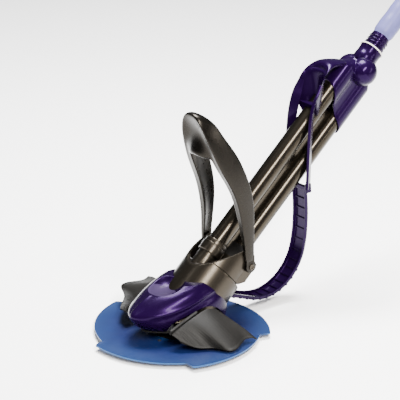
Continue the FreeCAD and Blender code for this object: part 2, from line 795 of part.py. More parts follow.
def strap_hood(arms):
    """Broad flared hood at the strap's top end."""
    wires = []
    for y, z, half_width, half_thick, angle in HOOD_ROUTE:
        ring = Part.Ellipse(V(0, 0, 0), half_width, half_thick).toShape()
        ring.rotate(V(0, 0, 0), V(1, 0, 0), 90.0 - angle)
        ring.translate(V(0, y, z))
        wires.append(Part.Wire([ring]))
    hood = Part.makeLoft(wires, True)
    notch = Part.makeCylinder(20.0, 80, V(0, 360, 505.0), V(0, 1, 0))
    hood = hood.cut(notch).cut(fused(arms))
    return hood.cut(lean(fused([rod(SHROUD_R + 1.0, 500, DOME_S, FRONT_Q), domes(DOME_R)])))


def clip_form(margin):
    return box(-29.0 - margin, 29.0 + margin, 94.0 - margin, 117.9 + margin,
               53.0 - margin, 82.0 + margin)


def strap_clip():
    """Catch on the chassis that the band's lower end hooks into."""
    return clip_form(0.0).cut(box(-60.0, 60.0, 107.0, 130.0, 59.0, 76.0))


# ---------------------------------------------------------------- wings
WING_ROOT = [(86.0, -91.0, 54.0), (86.5, -46.0, 70.0), (87.0, -16.0, 80.0), (90.0, 10.0, 86.0),
             (97.0, 32.0, 81.0)]
WING_EDGE = [(106.0, -80.0, 38.0), (128.0, -53.0, 22.0), (150.0, -22.0, 20.0),
             (180.0, -4.0, 19.0), (186.0, 18.0, 19.0), (166.0, 58.0, 21.0), (176.0, 86.0, 21.0)]
WING_THICK = 3.0
HINGE_FRONT = V(86.0, -91.0, 54.0)
HINGE_REAR = V(87.0, -16.0, 80.0)
BEAD_R = 2.6
LEFT_LIFT = 21.0             # the left wing's resting angle above the right one


def spline(points):
    curve = Part.BSplineCurve()
    curve.interpolate([V(*point) for point in points])
    return curve.toShape()


def wing_bead(radius):
    """Round bead along the wing's root, on its hinge line."""
    run = HINGE_REAR - HINGE_FRONT
    return Part.makeCylinder(radius, run.Length, HINGE_FRONT, run)


def wing():
    """Soft side wing: a drooping plate from the hood's arch to its wavy edge."""
    sheet = Part.makeRuledSurface(spline(WING_ROOT), spline(WING_EDGE))
    solid = sheet.extrude(V(0, 0, WING_THICK))
    plate_solid = solid.Solids[0] if solid.Solids else Part.Solid(Part.Shell(solid.Faces))
    return plate_solid.fuse(wing_bead(BEAD_R))


def lifted_left(shape):
    """The left wing, resting higher than the right one on its hinge line."""
    left = mirrored(shape)
    start = V(-HINGE_FRONT.x, HINGE_FRONT.y, HINGE_FRONT.z)
    end = V(-HINGE_REAR.x, HINGE_REAR.y, HINGE_REAR.z)
    left.rotate(start, end - start, LEFT_LIFT)
    return left


def wing_rail():
    """Rail on the hood's side that the wing's root sits in."""
    stations = []
    for x, y, z in WING_ROOT[:3]:
        stations.append((V(x - 5.4, y, z + 1.0), V(0.35, 0, 1), V(1, 0, -0.35), 12.0, 5.0))
    rail = strip_loft(stations)
    return rail.cut(hood_form(0.0)).cut(wing_bead(BEAD_R + 2 * CLEAR))


# ---------------------------------------------------------------- handle
LEG_ROUTE = [
    # y, z, inner x, outer x, half depth in the side view, lean of the section
    (148.0, 160.0, 71.5, 79.5, 13.0, 0.0),
    (145.0, 200.0, 71.0, 79.0, 14.0, 0.0),
    (145.0, 245.0, 67.0, 76.0, 17.0, 2.0),
    (142.0, 290.0, 64.0, 74.0, 22.0, 8.0),
    (132.0, 333.0, 60.0, 72.0, 24.0, 18.0),
    (116.0, 372.0, 55.0, 68.0, 26.0, 28.0),
    (98.0, 408.0, 48.0, 62.0, 28.0, 36.0),
    (84.0, 436.0, 38.0, 54.0, 30.0, 42.0),
]


LEG_WALL = 4.0
RIB_HEIGHTS = (190.0, 215.0, 240.0, 268.0, 298.0, 330.0, 362.0)
RIB_THICK = 2.4


def leg_section(y, z, inner, outer, half, angle):
    """One rectangular section of the leg, square to its side view's lean."""
    tilt = math.radians(angle)
    depth = V(0, math.cos(tilt), math.sin(tilt)) * half
    centre = V(0, y, z)
    corners = [centre + depth + V(outer, 0, 0), centre - depth + V(outer, 0, 0),
               centre - depth + V(inner, 0, 0), centre + depth + V(inner, 0, 0)]
    return Part.makePolygon(corners + corners[:1])


def leg_channel():
    """The hollow on the leg's inner side."""
    sections = []
    for y, z, inner, outer, half, angle in LEG_ROUTE[1:-1]:
        sections.append(leg_section(y, z, inner - 2.0, outer - LEG_WALL, half - LEG_WALL, angle))
    return Part.makeLoft(sections, True)


def leg_ribs(channel):
    """Slanting stiffening ribs across the hollow."""
    ribs = []
    for z in RIB_HEIGHTS:
        rib = box(45.0, 85.0, 60.0, 200.0, -RIB_THICK / 2, RIB_THICK / 2)
        rib.translate(V(0, 0, z))
        rib.rotate(V(0, 140.0, z), V(1, 0, 0), 38.0)
        ribs.append(rib)
    leg = Part.makeLoft([leg_section(*station) for station in LEG_ROUTE], True)
    return fused(ribs).common(channel).common(leg)


def handle_leg():
    """Hollow leg with ribs, open towards the tubes."""
    leg = Part.makeLoft([leg_section(*station) for station in LEG_ROUTE], True)
    channel = leg_channel()
    return leg.cut(channel).fuse(leg_ribs(channel))


def handle_foot():
    """Round foot around the pivot pin."""
    foot = Part.makeCylinder(15.0, 8.0, V(LEG_X, PIVOT_Y, PIVOT_Z), V(1, 0, 0))
    web = box(LEG_X, LEG_X + 8.0, PIVOT_Y - 15.0, PIVOT_Y + 11.0, PIVOT_Z, PIVOT_Z + 16.0)
    return foot.fuse(web)


def handle_dish():
    """Wide grip across the top, dished towards the front."""
    outline = [(31.0, 480.0), (29.0, 510.0), (34.0, 527.0), (50.0, 525.0), (76.0, 508.0),
               (100.0, 482.0), (118.0, 450.0), (124.0, 428.0), (100.0, 426.0), (76.0, 414.0),
               (58.0, 412.0), (48.0, 424.0), (36.0, 446.0)]
    front_view = [(-47.0, 400.0), (-47.0, 446.0), (-38.0, 492.0), (-22.0, 530.0),
                  (22.0, 530.0), (38.0, 492.0), (47.0, 446.0), (47.0, 400.0)]
    wire = Part.makePolygon([V(x, 0, z) for x, z in front_view + front_view[:1]])
    body = plate(outline, -47.0, 47.0).common(Part.Face(wire).extrude(V(0, 200, 0)))
    dish = Part.makeCylinder(70.0, 100, V(-50, -14, 462), V(1, 0, 0))
    return body.cut(dish)


def handle():
    right = handle_leg().fuse(handle_foot())
    solid = fused([right, mirrored(right), handle_dish()])
    for side in (-1, 1):
        hole = Part.makeCylinder(PIN_R + 0.05, 40, V(side * 62, PIVOT_Y, PIVOT_Z), V(side, 0, 0))
        solid = solid.cut(hole)
    return solid


def handle_pins():
    pins = []
    for side in (-1, 1):
        shank = Part.makeCylinder(PIN_R, 15.8, V(side * 64.0, PIVOT_Y, PIVOT_Z), V(side, 0, 0))
        head = Part.makeCylinder(7.5, 2.5, V(side * (LEG_X + 8.3), PIVOT_Y, PIVOT_Z), V(side, 0, 0))
        pins.append(shank.fuse(head))
    return group(pins)


# ---------------------------------------------------------------- build and export
elbow, elbow_end_s = intake_elbow()
band_solid = strap_band()
right_wing = wing()
right_arm = strap_arm()
left_arm = mirrored(right_arm)
right_rail = wing_rail()

export("foot_pad", foot_pad())
export("throat_tube", throat_tube())
export("sealing_disc", sealing_disc())
export("disc_fins", disc_fins())
export("disc_hub", disc_hub())
export("disc_retainer", disc_retainer())
export("chassis", chassis())
export("chassis_screws", chassis_screws())
export("front_hood", front_hood())
export("hood_bosses", hood_bosses())
export("hood_window", hood_window())
export("ballast_weight", ballast_weight())
export("lower_housing", lower_housing())
export("rear_housing", rear_housing())
export("intake_elbow", elbow)
export("cassette_body", lean(cassette_body(elbow_end_s)))
export("diaphragm", lean(diaphragm(elbow_end_s)))
export("diaphragm_ring", lean(diaphragm_ring()))
export("outlet_sleeve", lean(outlet_sleeve()))
export("cassette_latch", lean(cassette_latch()))
export("lock_collar", lean(lock_collar()))
export("front_tube", lean(suction_tube(COLLAR_S + 5.0, FRONT_Q)))
export("front_tube_seal", lean(pipe(TUBE_R - 0.2, TUBE_R - 2.6, COLLAR_S + 3.0, COLLAR_S + 5.0, FRONT_Q)))
export("rear_tube", lean(suction_tube(REAR_TUBE_S, REAR_Q)))
export("tube_web", lean(tube_web()))
export("rear_funnel", lean(rear_funnel()))
export("bypass_seat", lean(bypass_seat()))
export("bypass_flap", lean(bypass_flap()))
export("bypass_pin", lean(flap_pin_form()))
export("top_shroud", lean(top_shroud()))
export("float_foam", lean(float_foam()))
export("manifold", lean(manifold()))
export("neck_sleeve", lean(neck_sleeve()))
export("swivel_bearing", lean(swivel_bearing()))
export("swivel_seal", lean(swivel_seal()))
export("retaining_ring", lean(retaining_ring()))
export("hose_connector", lean(hose_connector()))
export("hose", lean(hose()))
export("hose_far_cuff", lean(hose_far_cuff()))
export("strap_hood", strap_hood([right_arm, left_arm]))
export("strap_arm_right", right_arm)
export("strap_arm_left", left_arm)
export("strap_junction", strap_junction().cut(band_solid))
export("strap_band", band_solid)
export("strap_clip", strap_clip())
export("wing_right", right_wing)
export("wing_left", lifted_left(right_wing))
export("wing_rail_right", right_rail)
export("wing_rail_left", mirrored(right_rail).cut(hood_form(0.0)))
export("handle", handle())
export("handle_pins", handle_pins())
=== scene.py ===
"""Looks for the pool cleaner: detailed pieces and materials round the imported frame.

Lengths in this file are millimetres unless a name says otherwise; P() and T() turn them into
Blender's metres. T() works in the tubes' own frame: x to the side, q across the tubes, s along them.
"""

import json
import math
from itertools import product

import bmesh
import bpy
from mathutils import Matrix, Vector


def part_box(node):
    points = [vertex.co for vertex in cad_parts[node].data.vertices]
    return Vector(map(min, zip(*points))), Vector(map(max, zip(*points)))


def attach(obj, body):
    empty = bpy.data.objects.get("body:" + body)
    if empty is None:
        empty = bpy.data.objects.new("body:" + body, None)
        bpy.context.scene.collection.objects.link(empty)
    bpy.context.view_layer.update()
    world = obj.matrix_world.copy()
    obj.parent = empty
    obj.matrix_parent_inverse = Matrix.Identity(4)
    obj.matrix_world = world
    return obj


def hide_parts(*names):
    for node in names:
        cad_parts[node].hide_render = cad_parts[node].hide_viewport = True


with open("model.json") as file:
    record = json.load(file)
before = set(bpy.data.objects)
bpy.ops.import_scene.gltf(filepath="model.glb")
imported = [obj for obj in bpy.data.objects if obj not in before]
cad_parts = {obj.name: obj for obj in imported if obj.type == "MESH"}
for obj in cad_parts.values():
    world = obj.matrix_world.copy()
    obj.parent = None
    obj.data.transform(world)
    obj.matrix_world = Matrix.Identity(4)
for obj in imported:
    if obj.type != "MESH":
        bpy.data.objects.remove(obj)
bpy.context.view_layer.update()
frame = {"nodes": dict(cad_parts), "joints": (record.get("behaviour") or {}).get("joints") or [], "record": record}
joints = {joint["name"]: joint for joint in frame["joints"]}

MM = 0.001
SIDE = Vector((1.0, 0.0, 0.0))
ALONG = Vector(joints["hose_swivel"]["axis"]).normalized()
ACROSS = ALONG.cross(SIDE)


def P(x, y, z):
    """A point in the CAD frame, from millimetres to metres."""
    return Vector((x, y, z)) * MM


def T(x, q, s):
    """A point in the tubes' frame, from millimetres to metres."""
    return (SIDE * x + ACROSS * q + ALONG * s) * MM


def along_of(point):
    """The s of a point given in metres."""
    return Vector(point).dot(ALONG) / MM


def across_of(point):
    """The q of a point given in metres."""
    return Vector(point).dot(ACROSS) / MM


def centre_of(node):
    """The middle of a node's box, in metres."""
    low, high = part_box(node)
    return (Vector(low) + Vector(high)) / 2


def wide_of(node):
    """Half the node's width along X."""
    low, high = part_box(node)
    return (high[0] - low[0]) / 2 / MM


def ends_of(node, radius):
    """Where a round node along the tubes starts and ends, from its box."""
    low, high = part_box(node)
    q = across_of(centre_of(node))
    middle = along_of(centre_of(node))
    rise = (high[2] - low[2]) / MM
    half = (rise - 2 * radius * abs(ACROSS.z)) / 2 / ALONG.z
    return middle - half, middle + half, q


TUBE_R = wide_of("front_tube")
FRONT_START, TUBE_END, FRONT_Q = ends_of("front_tube", TUBE_R)
REAR_START, _, REAR_Q = ends_of("rear_tube", TUBE_R)
TOP_Q = across_of(joints["hose_swivel"]["pos_m"])
HOSE_R = wide_of("hose")
HOSE_START, HOSE_END, _ = ends_of("hose", HOSE_R)
PIVOT = Vector(joints["handle_pivot"]["pos_m"]) / MM
DISC_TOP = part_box("disc_hub")[0][2] / MM + 4.5
DISC_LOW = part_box("sealing_disc")[0][2] / MM


# ---- camera and light
def placed(name, data):
    """A new object in the scene."""
    obj = bpy.data.objects.new(name, data)
    bpy.context.scene.collection.objects.link(obj)
    return obj


def camera():
    """The camera, at the reference view's angle."""
    data = bpy.data.cameras.new("camera")
    data.lens = 178.7
    data.sensor_width = 36.0
    data.clip_end = 60.0
    cam = placed("camera", data)
    target = P(-49.2, 104.2, 286.5)
    azimuth, height = math.radians(50.0), math.radians(21.0)
    back = Vector((math.sin(azimuth) * math.cos(height),
                   -math.cos(azimuth) * math.cos(height), math.sin(height)))
    distance = 4.558
    cam.location = target + back * distance
    cam.rotation_mode = "QUATERNION"
    cam.rotation_quaternion = (-back).to_track_quat("-Z", "Y")
    bpy.context.scene.camera = cam


def softbox(name, place, target, width, height, watts, colour=(1.0, 1.0, 1.0)):
    """An area light aimed at a target, with its height lying along the tubes."""
    data = bpy.data.lights.new(name, "AREA")
    data.shape = "RECTANGLE"
    data.size, data.size_y = width, height
    data.energy = watts
    data.color = colour
    lamp = placed(name, data)
    lamp.location = place
    lamp.rotation_mode = "QUATERNION"
    aim = (Vector(target) - Vector(place)).normalized()
    lengthways = (ALONG - aim * ALONG.dot(aim)).normalized()
    sideways = lengthways.cross(-aim)
    lamp.rotation_quaternion = Matrix((sideways, lengthways, -aim)).transposed().to_quaternion()


def studio():
    """Dim world, one broad light overhead and three strips along the tubes."""
    world = bpy.data.worlds.new("studio")
    bpy.context.scene.world = world
    world.use_nodes = True
    background = world.node_tree.nodes["Background"].inputs
    background["Color"].default_value = (0.90, 0.94, 1.0, 1.0)
    background["Strength"].default_value = 0.22
    middle = (0.0, 0.25, 0.3)
    softbox("overhead", (-0.5, 0.7, 3.2), middle, 1.4, 1.4, 600.0)
    softbox("tube_strip", (2.1, -0.6, 2.2), middle, 0.36, 2.0, 290.0, (1.0, 0.97, 0.92))
    softbox("left_strip", (-0.7, -1.9, 2.3), middle, 0.25, 1.6, 12.0, (0.97, 0.98, 1.0))
    softbox("right_strip", (2.6, 1.9, 1.2), middle, 0.25, 2.0, 40.0, (1.0, 0.97, 0.92))


camera()


# ---- material nodes
class Shader:
    """A small wrapper that adds and links nodes in one material."""

    def __init__(self, name):
        self.material = bpy.data.materials.new(name)
        self.material.use_nodes = True
        self.tree = self.material.node_tree
        self.surface = self.tree.nodes["Principled BSDF"]

    def node(self, kind, links=(), **values):
        made = self.tree.nodes.new("ShaderNode" + kind)
        for key, value in values.items():
            setattr(made, key, value)
        for socket, source in links:
            self.put(made.inputs[socket], source)
        return made

    def put(self, socket, source):
        if isinstance(source, bpy.types.NodeSocket):
            self.tree.links.new(source, socket)
        else:
            socket.default_value = source

    def set(self, name, source):
        self.put(self.surface.inputs[name], source)

    def position(self):
        return self.node("TexCoord").outputs["Object"]

    def noise(self, scale, detail=3.0, vector=None, rough=0.55):
        made = self.node("TexNoise", [
            ("Vector", vector or self.position()), ("Scale", scale),
            ("Detail", detail), ("Roughness", rough)])
        return made.outputs["Fac"]

    def ramp(self, source, low, high, start=0.3, end=0.7):
        """A number from low to high as the source goes from start to end."""
        made = self.node("MapRange", [
            ("Value", source), ("From Min", start), ("From Max", end),
            ("To Min", low), ("To Max", high)])
        return made.outputs["Result"]

    def mix(self, share, first, second):
        made = self.node("Mix", data_type="RGBA")
        self.put(made.inputs[0], share)
        self.put(made.inputs[6], first)
        self.put(made.inputs[7], second)
        return made.outputs[2]

    def math(self, operation, *values):
        return self.node("Math", enumerate(values), operation=operation).outputs[0]

    def ground(self):
        """x and y of the object position."""
        place = self.node("SeparateXYZ", [("Vector", self.position())])
        return place.outputs[0], place.outputs[1]

    def flat(self, x, y):
        return self.node("CombineXYZ", [(0, x), (1, y), (2, 0.0)]).outputs[0]

    def length(self, vector):
        return self.node("VectorMath", [(0, vector)], operation="LENGTH").outputs["Value"]

    def bump(self, source, height, strength=1.0, below=None):
        made = self.node("Bump", [
            ("Height", source), ("Distance", height), ("Strength", strength)])
        if below is not None:
            self.put(made.inputs["Normal"], below)
        return made.outputs["Normal"]

    def stretched(self, side, across, along):
        """Object position in the tubes' frame, scaled differently along each direction."""
        parts = []
        for direction, scale in ((SIDE, side), (ACROSS, across), (ALONG, along)):
            pair = [(0, self.position()), (1, direction * scale)]
            dot = self.node("VectorMath", pair, operation="DOT_PRODUCT")
            parts.append(dot.outputs["Value"])
        made = self.node("CombineXYZ", [(0, parts[0]), (1, parts[1]), (2, parts[2])])
        return made.outputs["Vector"]

    def edges(self, start, end):
        """0 on flats, 1 on raised edges."""
        point = self.node("NewGeometry").outputs["Pointiness"]
        return self.ramp(point, 0.0, 1.0, start, end)


def rgba(colour):
    """The colour with full alpha."""
    return (*colour, 1.0)


def scaled(colour, factor):
    """The colour made lighter or darker."""
    return rgba([min(1.0, channel * factor) for channel in colour])


def panel_mask(shader):
    """1 inside the oval scoop panel on top of the hood."""
    x, y = shader.ground()
    oval = shader.flat(shader.math("MULTIPLY", x, 0.82), shader.math("ADD", y, 0.050))
    return shader.ramp(shader.length(oval), 1.0, 0.0, 0.0285, 0.0295)


def moulded(name, colour, rough, coat=0.0, shine=0.5, wear=0.25, tint=None, panel=None):
    """Injection-moulded plastic: faint cloudiness, orange peel, fine grain and paler edges."""
    shader = Shader(name)
    cloud = shader.noise(9.0, 4.0)
    body = shader.mix(shader.ramp(cloud, 0.0, 1.0), scaled(colour, 0.82), scaled(colour, 1.18))
    worn = shader.math("MULTIPLY", shader.edges(0.56, 0.68), wear)
    pale = rgba([3.0 * channel + 0.01 for channel in colour])
    body = shader.mix(worn, body, pale)
    smudge = shader.noise(26.0, 5.0)
    gloss = shader.ramp(smudge, rough * 0.8, rough * 1.25)
    if panel:
        mask = panel_mask(shader)
        body = shader.mix(mask, body, rgba(panel))
        gloss = shader.math("MULTIPLY_ADD", mask, 0.3, gloss)
    shader.set("Base Color", body)
    shader.set("Roughness", gloss)
    if tint:
        shader.set("Specular Tint", rgba(tint))
    shader.set("Specular IOR Level", shine)
    shader.set("Coat Weight", coat)
    shader.set("Coat Roughness", 0.06)
    peel = shader.bump(shader.noise(90.0, 2.0), 0.00004, 0.25)
    shader.set("Normal", shader.bump(shader.noise(1400.0, 2.0), 0.000004, 0.4, peel))
    return shader.material


def titanium(name, colour, rough, streak, metallic=0.9, even=False):
    """Metallic-look moulding with fine draw lines along the tubes."""
    shader = Shader(name)
    stretch = (30.0, 30.0, 30.0) if even else (500.0, 500.0, 4.0)
    lines = shader.noise(1.0, 2.0, shader.stretched(*stretch))
    flakes = shader.noise(1900.0, 1.0)
    tone = shader.mix(shader.ramp(lines, 0.0, 1.0), scaled(colour, 1.0 - streak),
                      scaled(colour, 1.0 + streak))
    shader.set("Base Color", shader.mix(shader.ramp(flakes, 0.0, 0.20), tone,
                                        scaled(colour, 1.7)))
    shader.set("Metallic", metallic)
    shader.set("Roughness", shader.ramp(lines, rough * 0.93, rough * 1.1))
    shader.set("Normal", shader.bump(shader.noise(25.0, 2.0), 0.00003, 0.04))
    return shader.material


def rubber(name, colour, rough, dust=0.10, grain=0.00004):
    """Soft rubber: pebbled surface, uneven sheen and a little dust."""
    shader = Shader(name)
    patch = shader.noise(14.0, 5.0)
    body = shader.mix(shader.ramp(patch, 0.0, 1.0), scaled(colour, 0.8), scaled(colour, 1.2))
    dusty = shader.ramp(shader.noise(55.0, 6.0), 0.0, dust, 0.5, 0.8)
    shader.set("Base Color", shader.mix(dusty, body, (0.05, 0.047, 0.042, 1.0)))
    shader.set("Roughness", shader.ramp(patch, rough * 0.85, rough * 1.15))
    shader.set("Specular IOR Level", 0.14)
    pebble = shader.node("TexVoronoi", [("Vector", shader.position()), ("Scale", 900.0)])
    coarse = shader.bump(shader.noise(40.0, 3.0), 0.00012, 0.3)
    shader.set("Normal", shader.bump(pebble.outputs["Distance"], grain, 0.5, coarse))
    return shader.material


def disc_rubber():
    """Blue sealing disc: satin rubber with flow marks, painted shade towards the middle under the body and a
    painted highlight along its rim.
    """
    shader = Shader("disc_blue")
    flat = shader.flat(*shader.ground())
    radius = shader.length(flat)
    flow = shader.noise(3.2, 5.0, flat, 0.65)
    deep, bright = (0.0042, 0.0036, 0.028, 1.0), (0.005, 0.011, 0.052, 1.0)
    body = shader.mix(shader.ramp(flow, 0.0, 1.0, 0.38, 0.64), deep, bright)
    # painted highlight: the rim's raised edges turn bright blue
    rim = shader.edges(0.56, 0.66)
    # painted shade: darker towards the middle under the body, lighter (lit) towards the outer edge
    outer = shader.ramp(radius, 0.0, 0.75, 0.125, 0.205)
    lit = shader.mix(outer, body, (0.0075, 0.023, 0.074, 1.0))
    shader.set("Base Color", shader.mix(rim, lit, (0.02, 0.13, 0.36, 1.0)))
    shader.set("Roughness", shader.ramp(shader.noise(18.0, 4.0), 0.30, 0.40))
    shader.set("Specular IOR Level", 0.20)
    shader.set("Normal", shader.bump(shader.noise(9.0, 2.0), 0.0004, 0.05))
    return shader.material


def hose_plastic(name, colour, clear, rough):
    """Cloudy see-through hose plastic."""
    shader = Shader(name)
    bands = shader.noise(1.0, 3.0, shader.stretched(30.0, 30.0, 6.0))
    shader.set("Base Color", shader.mix(shader.ramp(bands, 0.0, 1.0), scaled(colour, 0.92),
                                        scaled(colour, 1.1)))
    shader.set("Roughness", shader.ramp(bands, rough * 0.8, rough * 1.3))
    shader.set("Transmission Weight", clear)
    shader.set("IOR", 1.2)
    shader.set("Normal", shader.bump(shader.noise(70.0, 3.0), 0.0002, 0.35))
    return shader.material


def brushed_metal(name, colour, rough):
    """Turned steel or cast iron with fine tool marks."""
    shader = Shader(name)
    marks = shader.noise(700.0, 4.0)
    shader.set("Base Color", shader.mix(marks, scaled(colour, 0.75), scaled(colour, 1.15)))
    shader.set("Metallic", 1.0)
    shader.set("Roughness", shader.ramp(shader.noise(90.0, 3.0), rough * 0.8, rough * 1.25))
    shader.set("Normal", shader.bump(marks, 0.00003, 0.5))
    return shader.material


def foam_cells():
    """Closed-cell foam."""
    shader = Shader("foam_cells")
    cells = shader.node("TexVoronoi", [("Vector", shader.position()), ("Scale", 420.0)])
    shade = shader.ramp(cells.outputs["Distance"], 0.0, 1.0, 0.0, 0.6)
    shader.set("Base Color", shader.mix(shade, (0.55, 0.55, 0.52, 1.0), (0.80, 0.80, 0.76, 1.0)))
    shader.set("Roughness", 0.85)
    shader.set("Normal", shader.bump(cells.outputs["Distance"], 0.0005, 0.8))
    return shader.material


def floor_paper():
    """Pale seamless studio paper."""
    shader = Shader("floor_paper")
    fibre = shader.noise(900.0, 4.0)
    white = shader.mix(fibre, (0.93, 0.93, 0.93, 1.0), (0.97, 0.97, 0.97, 1.0))
    shader.set("Base Color", white)
    shader.set("Emission Color", white)
    shader.set("Emission Strength", 0.12)
    shader.set("Roughness", 0.9)
    shader.set("Specular IOR Level", 0.1)
    shader.set("Normal", shader.bump(fibre, 0.00003, 0.3))
    return shader.material


PURPLE = (0.0034, 0.0004, 0.0098)
VIOLET = (0.50, 0.22, 1.0)
HOOD_PURPLE = moulded("purple_hood", PURPLE, 0.24, coat=0.02, shine=0.10, wear=0.3, tint=VIOLET,
                      panel=(0.022, 0.015, 0.036))
# the titanium moulding's colour, darkened for the handle alone: painted shade on the handle
SHADED_HANDLE_TITANIUM = titanium("titanium_handle_shaded", (0.0105, 0.0090, 0.0072), 0.27, 0.02, even=True)
MATERIALS = {
    "purple_moulding": moulded("purple_gloss", PURPLE, 0.22, coat=0.03, shine=0.12, wear=0.3,
                               tint=VIOLET),
    "titanium_moulding": titanium("titanium_satin", (0.026, 0.0215, 0.016), 0.30, 0.06),
    "titanium_tube": titanium("titanium_tube", (0.030, 0.025, 0.0185), 0.22, 0.02, 0.95),
    "dark_moulding": moulded("dark_satin", (0.006, 0.0056, 0.0052), 0.6, shine=0.10),
    "blue_rubber": disc_rubber(),
    "grey_rubber": rubber("foot_rubber", (0.05, 0.055, 0.06), 0.6),
    "black_rubber": rubber("black_rubber", (0.012, 0.012, 0.012), 0.5),
    "wing_rubber": rubber("wing_rubber", (0.0034, 0.0030, 0.0025), 0.50, dust=0.03),
    "acetal_white": moulded("acetal_cream", (0.80, 0.76, 0.68), 0.3, wear=0.0),
    "clear_hose": hose_plastic("hose_violet", (0.105, 0.105, 0.25), 0.25, 0.30),
    "hose_cuff": hose_plastic("hose_cuff", (0.095, 0.095, 0.22), 0.2, 0.35),
    "steel": brushed_metal("turned_steel", (0.55, 0.55, 0.54), 0.3),
    "ballast_iron": brushed_metal("cast_iron", (0.10, 0.10, 0.10), 0.6),
    "foam": foam_cells(),
}


def dress_frame():
    """Every CAD node that stays gets its slot's material."""
    slots = {part["node"]: part["material_slot"] for part in frame["record"]["subparts"]}
    for name, node in frame["nodes"].items():
        node.data.materials.clear()
        node.data.materials.append(MATERIALS[slots[name]])


# ---- mesh helpers
def skin(rows, ring=True, loop=False, caps=True):
    """Quads between rows of points. ring closes each row, loop joins the last row to the first."""
    mesh = bmesh.new()
    grid = [[mesh.verts.new(point) for point in row] for row in rows]
    pairs = list(zip(grid, grid[1:]))
    if loop:
        pairs.append((grid[-1], grid[0]))
    count = len(grid[0])
    for lower, upper in pairs:
        for i in range(count if ring else count - 1):
            j = (i + 1) % count
            mesh.faces.new((lower[i], lower[j], upper[j], upper[i]))
    if caps and ring and not loop:
        mesh.faces.new(list(reversed(grid[0])))
        mesh.faces.new(grid[-1])
    bmesh.ops.recalc_face_normals(mesh, faces=mesh.faces[:])
    return mesh


def bevelled(obj, width, segments, angle):
    """Rounds the sharp edges."""
    edge = obj.modifiers.new("edge", "BEVEL")
    edge.width = width * MM
    edge.segments = segments
    edge.limit_method = "ANGLE"
    edge.angle_limit = math.radians(angle)
    return edge


def walled(obj, thickness):
    """Gives an open sheet a wall on its inner side."""
    wall = obj.modifiers.new("wall", "SOLIDIFY")
    wall.thickness = thickness * MM
    wall.offset = -1.0


def piece(name, mesh, body, slot, replaces=(), bevel=0.0, levels=0, angle=35.0, look=None):
    """Links a mesh as a piece that rides on a body, with its material and modifiers."""
    data = bpy.data.meshes.new(name)
    mesh.to_mesh(data)
    mesh.free()
    data.materials.append(look or MATERIALS[slot])
    obj = placed(name, data)
    for polygon in data.polygons:
        polygon.use_smooth = True
    if levels:
        subdivide = obj.modifiers.new("subdivide", "SUBSURF")
        subdivide.levels = subdivide.render_levels = levels
    if bevel:
        bevelled(obj, bevel, 3, angle).harden_normals = True
    elif not levels:
        data.set_sharp_from_angle(angle=math.radians(angle))
    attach(obj, body)
    if replaces:
        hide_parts(*replaces)
    return obj


def join(meshes):
    """One bmesh from several."""
    whole = bmesh.new()
    for mesh in meshes:
        data = bpy.data.meshes.new("part")
        mesh.to_mesh(data)
        mesh.free()
        whole.from_mesh(data)
        bpy.data.meshes.remove(data)
    return whole


def mirrored(mesh):
    """The same shape on the other side of X = 0, with its faces still outwards."""
    copy = mesh.copy()
    for vert in copy.verts:
        vert.co.x = -vert.co.x
    bmesh.ops.reverse_faces(copy, faces=copy.faces[:])
    return copy


def ring_of(count, q, shape):
    """Points round the tube-frame axis at q; shape gives radius and s from the turn."""
    row = []
    for i in range(count):
        turn = 2 * math.pi * i / count
        radius, s = shape(turn)
        row.append(T(radius * math.sin(turn), q - radius * math.cos(turn), s))
    return row


def circle(radius, q, s, count=96):
    """A level ring in the tubes' frame."""
    return ring_of(count, q, lambda turn: (radius, s))


def turned(profile, q, count=96):
    """A closed profile of (radius, s) turned about the tube-frame axis at q."""
    return skin([circle(radius, q, s, count) for radius, s in profile], loop=True)


def turned_on(profile, centre, axis, count=48):
    """A closed profile of (radius, height) turned about any axis."""
    up = Vector(axis).normalized()
    first = up.orthogonal().normalized()
    second = up.cross(first)
    rows = []
    for radius, height in profile:
        middle = centre + up * height * MM
        rows.append([middle + (first * math.cos(2 * math.pi * i / count)
                               + second * math.sin(2 * math.pi * i / count)) * radius * MM
                     for i in range(count)])
    return skin(rows, loop=False, caps=True)


def smooth(value):
    """Eases from 0 to 1, flat at both ends."""
    value = max(0.0, min(1.0, value))
    return value * value * (3.0 - 2.0 * value)


def curve_through(points, steps):
    """Catmull-Rom points through a list of equal-length tuples."""
    result = []
    ends = [points[0], *points, points[-1]]
    for before, a, b, after in zip(ends, ends[1:], ends[2:], ends[3:]):
        for i in range(steps):
            t = i / steps
            weights = (-0.5 * t + t * t - 0.5 * t ** 3, 1 - 2.5 * t * t + 1.5 * t ** 3,
                       0.5 * t + 2 * t * t - 1.5 * t ** 3, -0.5 * t * t + 0.5 * t ** 3)
            result.append(tuple(
                sum(w * p[k] for w, p in zip(weights, (before, a, b, after)))
                for k in range(len(a))))
    result.append(tuple(points[-1]))
    return result


def at_value(table, value):
    """Straight-line lookup in [(key, result), ...]."""
    if value <= table[0][0]:
        return table[0][1]
    for (k0, v0), (k1, v1) in zip(table, table[1:]):
        if value <= k1:
            return v0 + (v1 - v0) * (value - k0) / (k1 - k0)
    return table[-1][1]


# ---- hose
def hose_route():
    """The taut hose's line, read from its own spline."""
    data = bpy.data.curves.new("hose_route", "CURVE")
    data.dimensions = "3D"
    spline = data.splines.new("NURBS")
    stops = (HOSE_START, HOSE_START + (HOSE_END - HOSE_START) * 0.5, HOSE_END)
    spline.points.add(len(stops) - 1)
    for point, s in zip(spline.points, stops):
        point.co = (*T(0.0, TOP_Q, s), 1.0)
    spline.order_u = 3
    spline.use_endpoint_u = True
    spline.resolution_u = 24
    route = bpy.data.objects.new("hose_route", data)
    mesh = bpy.data.meshes.new_from_object(route)
    points = [vert.co.copy() for vert in mesh.vertices]
    bpy.data.objects.remove(route)
    bpy.data.meshes.remove(mesh)
    return points


